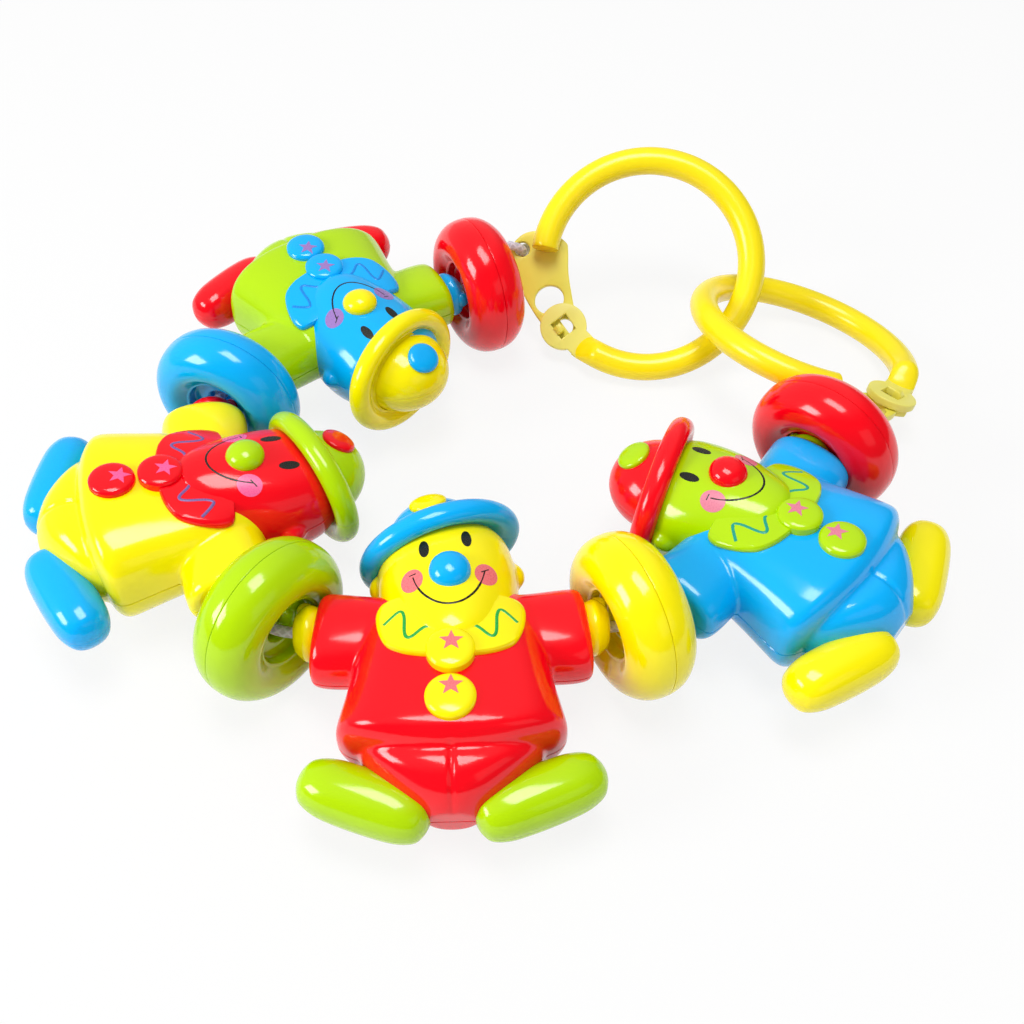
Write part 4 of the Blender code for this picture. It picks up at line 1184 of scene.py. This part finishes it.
def plate_form():
    """The flat plate with cord hole, window, slot and the snap prong."""
    points = [polar(RING_MIDDLE * out, -HUB_TO_TIP * back) for out, back in PLATE]
    edge = eased([(point.x, point.y) for point in points], 4)
    radius = EYE_RADIUS - PLATE_SETBACK
    for k in range(HUB_STEPS + 1):
        angle = math.pi * k / HUB_STEPS
        edge.append(hub_point(radius * math.cos(angle), radius * math.sin(angle)))
    hole_middle = polar(CORD_HOLE_AWAY, -HUB_TO_TIP)
    hole = oval_outline(hole_middle[:2], CORD_HOLE, CORD_HOLE)
    middle = polar(RING_MIDDLE, -WINDOW_BACK)
    window = oval_outline(middle[:2], WINDOW_HEIGHT / 2, WINDOW_WIDTH / 2)
    slot = []
    for k in range(SLOT_STEPS + 1):
        angle = math.pi * (0.5 + k / SLOT_STEPS)
        slot.append(hub_point(-PRONG_SIDE + SLOT_RADIUS * math.cos(angle), SLOT_RADIUS * math.sin(angle)))
    plate = flat_moulding([edge, hole, window, slot], PLATE_LEVEL - PLATE_THICK, PLATE_LEVEL)
    under = TAB_LEVEL + TAB_THICK + PRONG_PLAY
    prong = bmesh.new()
    base = PLATE_LEVEL - PLATE_THICK / 2
    size = Matrix.Diagonal((PRONG_WIDTH, PRONG_LENGTH, under + PRONG_CAP - base, 1.0))
    middle = (RING_MIDDLE + PRONG_SIDE + PRONG_WIDTH / 2, 0.0, (under + PRONG_CAP + base) / 2)
    bmesh.ops.create_cube(prong, size=1.0, matrix=Matrix.Translation(middle) @ size)
    bmesh.ops.bisect_plane(prong, geom=whole(prong), plane_co=(0, 0, under), plane_no=(0, 0, 1))
    for vert in prong.verts:
        if vert.co.x > middle[0] and abs(vert.co.z - under) < WELD_DISTANCE:
            vert.co.x += PRONG_LIP
    bmesh.ops.bevel(
        prong,
        geom=prong.edges[:],
        offset=PRONG_EDGE,
        offset_type="OFFSET",
        segments=2,
        profile=0.5,
        affect="EDGES",
        material=-1,
    )
    bmesh.ops.recalc_face_normals(prong, faces=prong.faces)
    return as_mesh(merged(plate, prong), "clip_plate")


def arm_form():
    """The round arm, flattened into the tab and eye that turn on the plate's prong."""
    sweep = 2 * math.pi - HUB_TO_TIP - HUB_TO_TUBE
    tab_middle = TAB_LEVEL + TAB_THICK / 2
    sections = []
    for k in range(RING_STEPS + 1):
        t = k / RING_STEPS
        away = sweep * t * RING_MIDDLE
        flat = max(0.0, 1 - away / TAB_BLEND)
        # Ease in and out of the flat part
        flat = flat * flat * (3 - 2 * flat)
        sections.append((HUB_TO_TUBE + sweep * t, 1.0, flat))
    end = sections[-1][0]
    round_turn = ARM_END_ROUND / RING_MIDDLE
    sections[-1:] = [(end - round_turn * back, share, 0.0) for back, share in ARM_END]

    def shape(section, c, s):
        angle, share, flat = section
        half_z = RING_TUBE * share * (1 - flat) + TAB_THICK / 2 * flat
        middle = tab_middle * flat
        radius = RING_MIDDLE + RING_TUBE * share * c
        return polar(radius, angle, middle + half_z * s)

    arm = skinned(sections, TUBE_STEPS, shape)
    way = polar(RING_MIDDLE, TAB_END) - polar(RING_MIDDLE, 0.0)
    turn = Matrix.Rotation(math.atan2(way.y, way.x), 2)
    corner = math.asin(TAB_HALF / EYE_RADIUS)
    outline = []
    for k in range(EYE_STEPS + 1):
        angle = corner + 2 * (math.pi - corner) * k / EYE_STEPS
        spot = turn @ Vector((EYE_RADIUS * math.cos(angle), EYE_RADIUS * math.sin(angle)))
        outline.append(hub_point(*spot))
    for y in (-TAB_HALF, TAB_HALF):
        outline.append(hub_point(*(turn @ Vector((way.length, y)))))
    corners = ((-1, -1), (1, -1), (1, 1), (-1, 1))
    square = [hub_point(x * SQUARE_HOLE, y * SQUARE_HOLE) for x, y in corners]
    tab = flat_moulding([outline, square], TAB_LEVEL, TAB_LEVEL + TAB_THICK)
    return as_mesh(arm, "clip_arm"), as_mesh(tab, "clip_tab")


def dress_clips():
    """Both clips; the tab is a paler stretch of the arm that it ends."""
    forms = list(zip(("plate", "arm", "tab"), (plate_form(), *arm_form()), ("clip_pale", "clip", "clip_tab")))
    for name in CLIPS:
        place = clip_place(name)
        for part, mesh, material in forms:
            body = name + ("_plate" if part == "plate" else "_arm")
            add_piece(f"{name}_{part}_moulded", mesh.copy(), place, material, body, [body])
    for _, mesh, _ in forms:
        bpy.data.meshes.remove(mesh)


# Cord


def curve_point(start, start_way, end, end_way, reach, t):
    """A point on the smooth curve that leaves one end and meets the other in given directions."""
    a, b = start + start_way * reach, end - end_way * reach
    s = 1 - t
    return start * s**3 + a * (3 * s * s * t) + b * (3 * s * t * t) + end * t**3


def smooth_run(points, known_ways):
    """A smooth curve through points, in even steps."""
    ways = []
    for i in range(len(points)):
        before, after = points[max(i - 1, 0)], points[min(i + 1, len(points) - 1)]
        ways.append(known_ways.get(i, (after - before).normalized()))
    result = []
    for i in range(len(points) - 1):
        a, b = points[i], points[i + 1]
        count = max(2, round((b - a).length / (CORD_STEP * MM)))
        reach = (b - a).length / 3
        for k in range(count):
            result.append(curve_point(a, ways[i], b, ways[i + 1], reach, k / count))
    result.append(points[-1])
    return result


def cord_tail(end):
    """The cord from an end figure through the end bead to its knot behind the clip's plate."""
    sign = 1 if end else -1
    figure = JOINTS["figure_4_swing" if end else "figure_1_swing"]
    bead = JOINTS["bead_red_right_spin" if end else "bead_red_left_spin"]
    place, way = Vector(figure["pos_m"]), Vector(figure["axis"])
    centre, axis = Vector(bead["pos_m"]), Vector(bead["axis"])
    aside = UP.cross(way)
    start = place + way * sign * CORD_STRAIGHT_HALF * MM
    inside = centre - UP * CORD_DROP * MM - aside * min(BEAD_SLACK, END_ASIDE[end]) * MM
    mouth = centre + axis * sign * BEAD_EXIT * MM + aside * TAIL_ASIDE[end] * MM + UP * TAIL_UP[end] * MM
    clip = clip_place(CLIPS[end])
    level = PLATE_LEVEL - PLATE_THICK / 2
    over = clip @ (polar(TAIL_OVER, -HUB_TO_TIP, PLATE_LEVEL + TAIL_LIFT) * MM)
    spot = clip @ (polar(CORD_HOLE_AWAY, -HUB_TO_TIP, level) * MM)
    knot = clip @ (polar(CORD_HOLE_AWAY, -HUB_TO_TIP, level - PLATE_THICK / 2 - KNOT_PLAY - KNOT_BACK) * MM)
    normal = clip.to_3x3() @ UP
    inward = clip.to_3x3() @ polar(-1.0, -HUB_TO_TIP)
    points = [start, inside, mouth, over, spot, knot]
    return smooth_run(points, {0: way * sign, 3: inward, 4: -normal, 5: -normal})


def cord_route():
    """The cord's points in metres, from the left clip's knot to the right clip's."""
    points = list(reversed(cord_tail(0)))
    swings = [JOINTS[name + "_swing"] for name in FIGURES]
    for i, joint in enumerate(swings):
        place, way = Vector(joint["pos_m"]), Vector(joint["axis"])
        half = way * CORD_STRAIGHT_HALF * MM
        start = place + half
        points += [place - half + half * k / 5 for k in range(1, 10)]
        points.append(start)
        if i < len(swings) - 1:
            other = swings[i + 1]
            next_way = Vector(other["axis"])
            finish = Vector(other["pos_m"]) - next_way * CORD_STRAIGHT_HALF * MM
            reach = (finish - start).length * BEND_REACH
            points += [curve_point(start, way, finish, next_way, reach, k / 10) for k in range(1, 10)]
            points.append(finish)
    points += cord_tail(1)
    clean = [points[0]]
    for point in points[1:]:
        if (point - clean[-1]).length > CORD_RADIUS * MM:
            clean.append(point)
    return clean


def knot_form(last, before):
    """An overhand knot's three crossing loops, drawn tight."""
    run = []
    for k in range(KNOT_POINTS):
        t = 2 * math.pi * k / KNOT_POINTS
        x, y = math.sin(t) + 2 * math.sin(2 * t), math.cos(t) - 2 * math.cos(2 * t)
        run.append(Vector((x, y, -KNOT_DEPTH * math.sin(3 * t))) * KNOT_SIZE)
    bm = tube(run, CORD_RADIUS * KNOT_CORD_SHARE, CORD_STEPS, closed=True)
    turn = UP.rotation_difference((before - last).normalized()).to_matrix().to_4x4()
    mesh = as_mesh(bm, "knot")
    mesh.transform(Matrix.Translation(last) @ turn)
    return mesh


def mark_cord(mesh, points):
    """Write how far along and how far round the cord each vertex is, for its braid."""
    along = mesh.attributes.new("along", "FLOAT", "POINT")
    turn = mesh.attributes.new("turn", "FLOAT_VECTOR", "POINT")
    lengths = [0.0]
    for a, b in zip(points, points[1:]):
        lengths.append(lengths[-1] + (b - a).length)
    for index, vert in enumerate(mesh.vertices):
        ring, step = divmod(index, CORD_STEPS)
        angle = 2 * math.pi * step / CORD_STEPS
        along.data[index].value = lengths[min(ring, len(lengths) - 1)]
        turn.data[index].vector = (math.cos(angle), math.sin(angle), 0.0)
    return lengths[-1]


def dress_cord():
    """The cord through every piece, with a knot at each end."""
    points = cord_route()
    bm = tube([point / MM for point in points], CORD_RADIUS, CORD_STEPS)
    mesh = as_mesh(bm, "cord")
    length = mark_cord(mesh, points)
    piece = add_piece("cord_braided", mesh, Matrix.Identity(4), "cord", "cord", ["cord_white"])
    for end, last, before in ((0, points[0], points[1]), (1, points[-1], points[-2])):
        knot = knot_form(last, before)
        mark_cord(knot, points)
        add_piece(f"cord_knot_{end + 1}", knot, Matrix.Identity(4), "cord", "cord")
    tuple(points[0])


# Camera, light and floor


def set_camera():
    """The photograph's camera."""
    down, roll = math.radians(CAMERA_DOWN), math.radians(CAMERA_ROLL)
    forward = Vector((0.0, math.cos(down), -math.sin(down)))
    right = Vector((1.0, 0.0, 0.0))
    up = right.cross(forward)
    side = right * math.cos(roll) + up * math.sin(roll)
    data = bpy.data.cameras.new("camera")
    data.lens = LENS
    data.sensor_width = SENSOR_WIDTH
    data.sensor_fit = "HORIZONTAL"
    data.clip_start = 10 * MM
    camera = new_object("camera", data)
    turn = Matrix((side, side.cross(forward), -forward)).transposed().to_4x4()
    camera.matrix_world = Matrix.Translation(Vector(CAMERA_PLACE) * MM) @ turn
    bpy.context.scene.camera = camera


def add_light(name, place, target, size, power):
    """A soft square lamp."""
    data = bpy.data.lights.new(name, "AREA")
    data.shape = "RECTANGLE"
    data.size, data.size_y = size
    data.energy = power
    lamp = new_object(name, data)
    way = Vector(target) - Vector(place)
    lamp.matrix_world = Matrix.Translation(place) @ way.to_track_quat("-Z", "Y").to_matrix().to_4x4()


def seen_rays(tree, path):
    """1 for a ray that the viewer sees by, straight or through something clear."""
    return calculated(tree, "MAXIMUM", path.outputs["Is Camera Ray"], path.outputs["Is Transmission Ray"])


def set_surroundings():
    """White where it is seen; in the gloss, walls that darken towards the viewer; as light, a dim room."""
    world = bpy.data.worlds.new("studio")
    bpy.context.scene.world = world
    world.use_nodes = True
    tree = world.node_tree
    background = tree.nodes["Background"]
    path = add_node(tree, "ShaderNodeLightPath")
    way = add_node(tree, "ShaderNodeTexCoord")
    toward = add_node(tree, "ShaderNodeVectorMath", [(way.outputs["Generated"], 0)], operation="DOT_PRODUCT")
    toward.inputs[1].default_value = BRIGHT_SIDE
    ceiling = add_node(
        tree,
        "ShaderNodeMapRange",
        [(toward.outputs["Value"], "Value")],
        interpolation_type="SMOOTHSTEP",
        from_min=BRIGHT_FROM,
        from_max=BRIGHT_TO,
        to_min=SHADED_WALLS,
        to_max=BRIGHT_WALLS,
    )
    mirrored = add_node(
        tree,
        "ShaderNodeMapRange",
        [(path.outputs["Is Glossy Ray"], "Value"), (ceiling.outputs["Result"], "To Max")],
        to_min=ROOM_LIGHT,
    )
    strength = calculated(tree, "MAXIMUM", seen_rays(tree, path), mirrored.outputs["Result"])
    tree.links.new(strength, background.inputs["Strength"])
    background.inputs["Color"].default_value = (1.0, 1.0, 1.0, 1.0)


def lay_floor():
    """White paper that keeps the mobile's soft shadow."""
    bm = bmesh.new()
    bmesh.ops.create_grid(bm, x_segments=1, y_segments=1, size=FLOOR_HALF)
    mesh = bpy.data.meshes.new("floor")
    bm.to_mesh(mesh)
    bm.free()
    floor = new_object("floor", mesh)
    floor.location.z = cad_box[0][2] - FLOOR_BELOW
    material, tree, shader = new_material("white_paper")
    shader.inputs["Base Color"].default_value = (FLOOR_WHITE, FLOOR_WHITE, FLOOR_WHITE, 1.0)
    shader.inputs["Roughness"].default_value = 0.9
    shader.inputs["Specular IOR Level"].default_value = 0.0
    path = add_node(tree, "ShaderNodeLightPath")
    glow = add_node(tree, "ShaderNodeEmission")
    shown = calculated(tree, "MAXIMUM", seen_rays(tree, path), path.outputs["Is Glossy Ray"])
    share = calculated(tree, "MULTIPLY", shown, FLOOR_GLOW)
    mix = add_node(tree, "ShaderNodeMixShader", [(share, 0), (shader.outputs[0], 1), (glow.outputs[0], 2)])
    tree.links.new(mix.outputs[0], tree.nodes["Material Output"].inputs["Surface"])
    mesh.materials.append(material)


set_camera()
dress_cord()
dress_figures()
dress_beads()
dress_clips()
set_surroundings()
lay_floor()
for lamp_name, lamp_values in LAMPS.items():
    add_light(lamp_name, *lamp_values)
bpy.context.scene.view_settings.view_transform = "Standard"
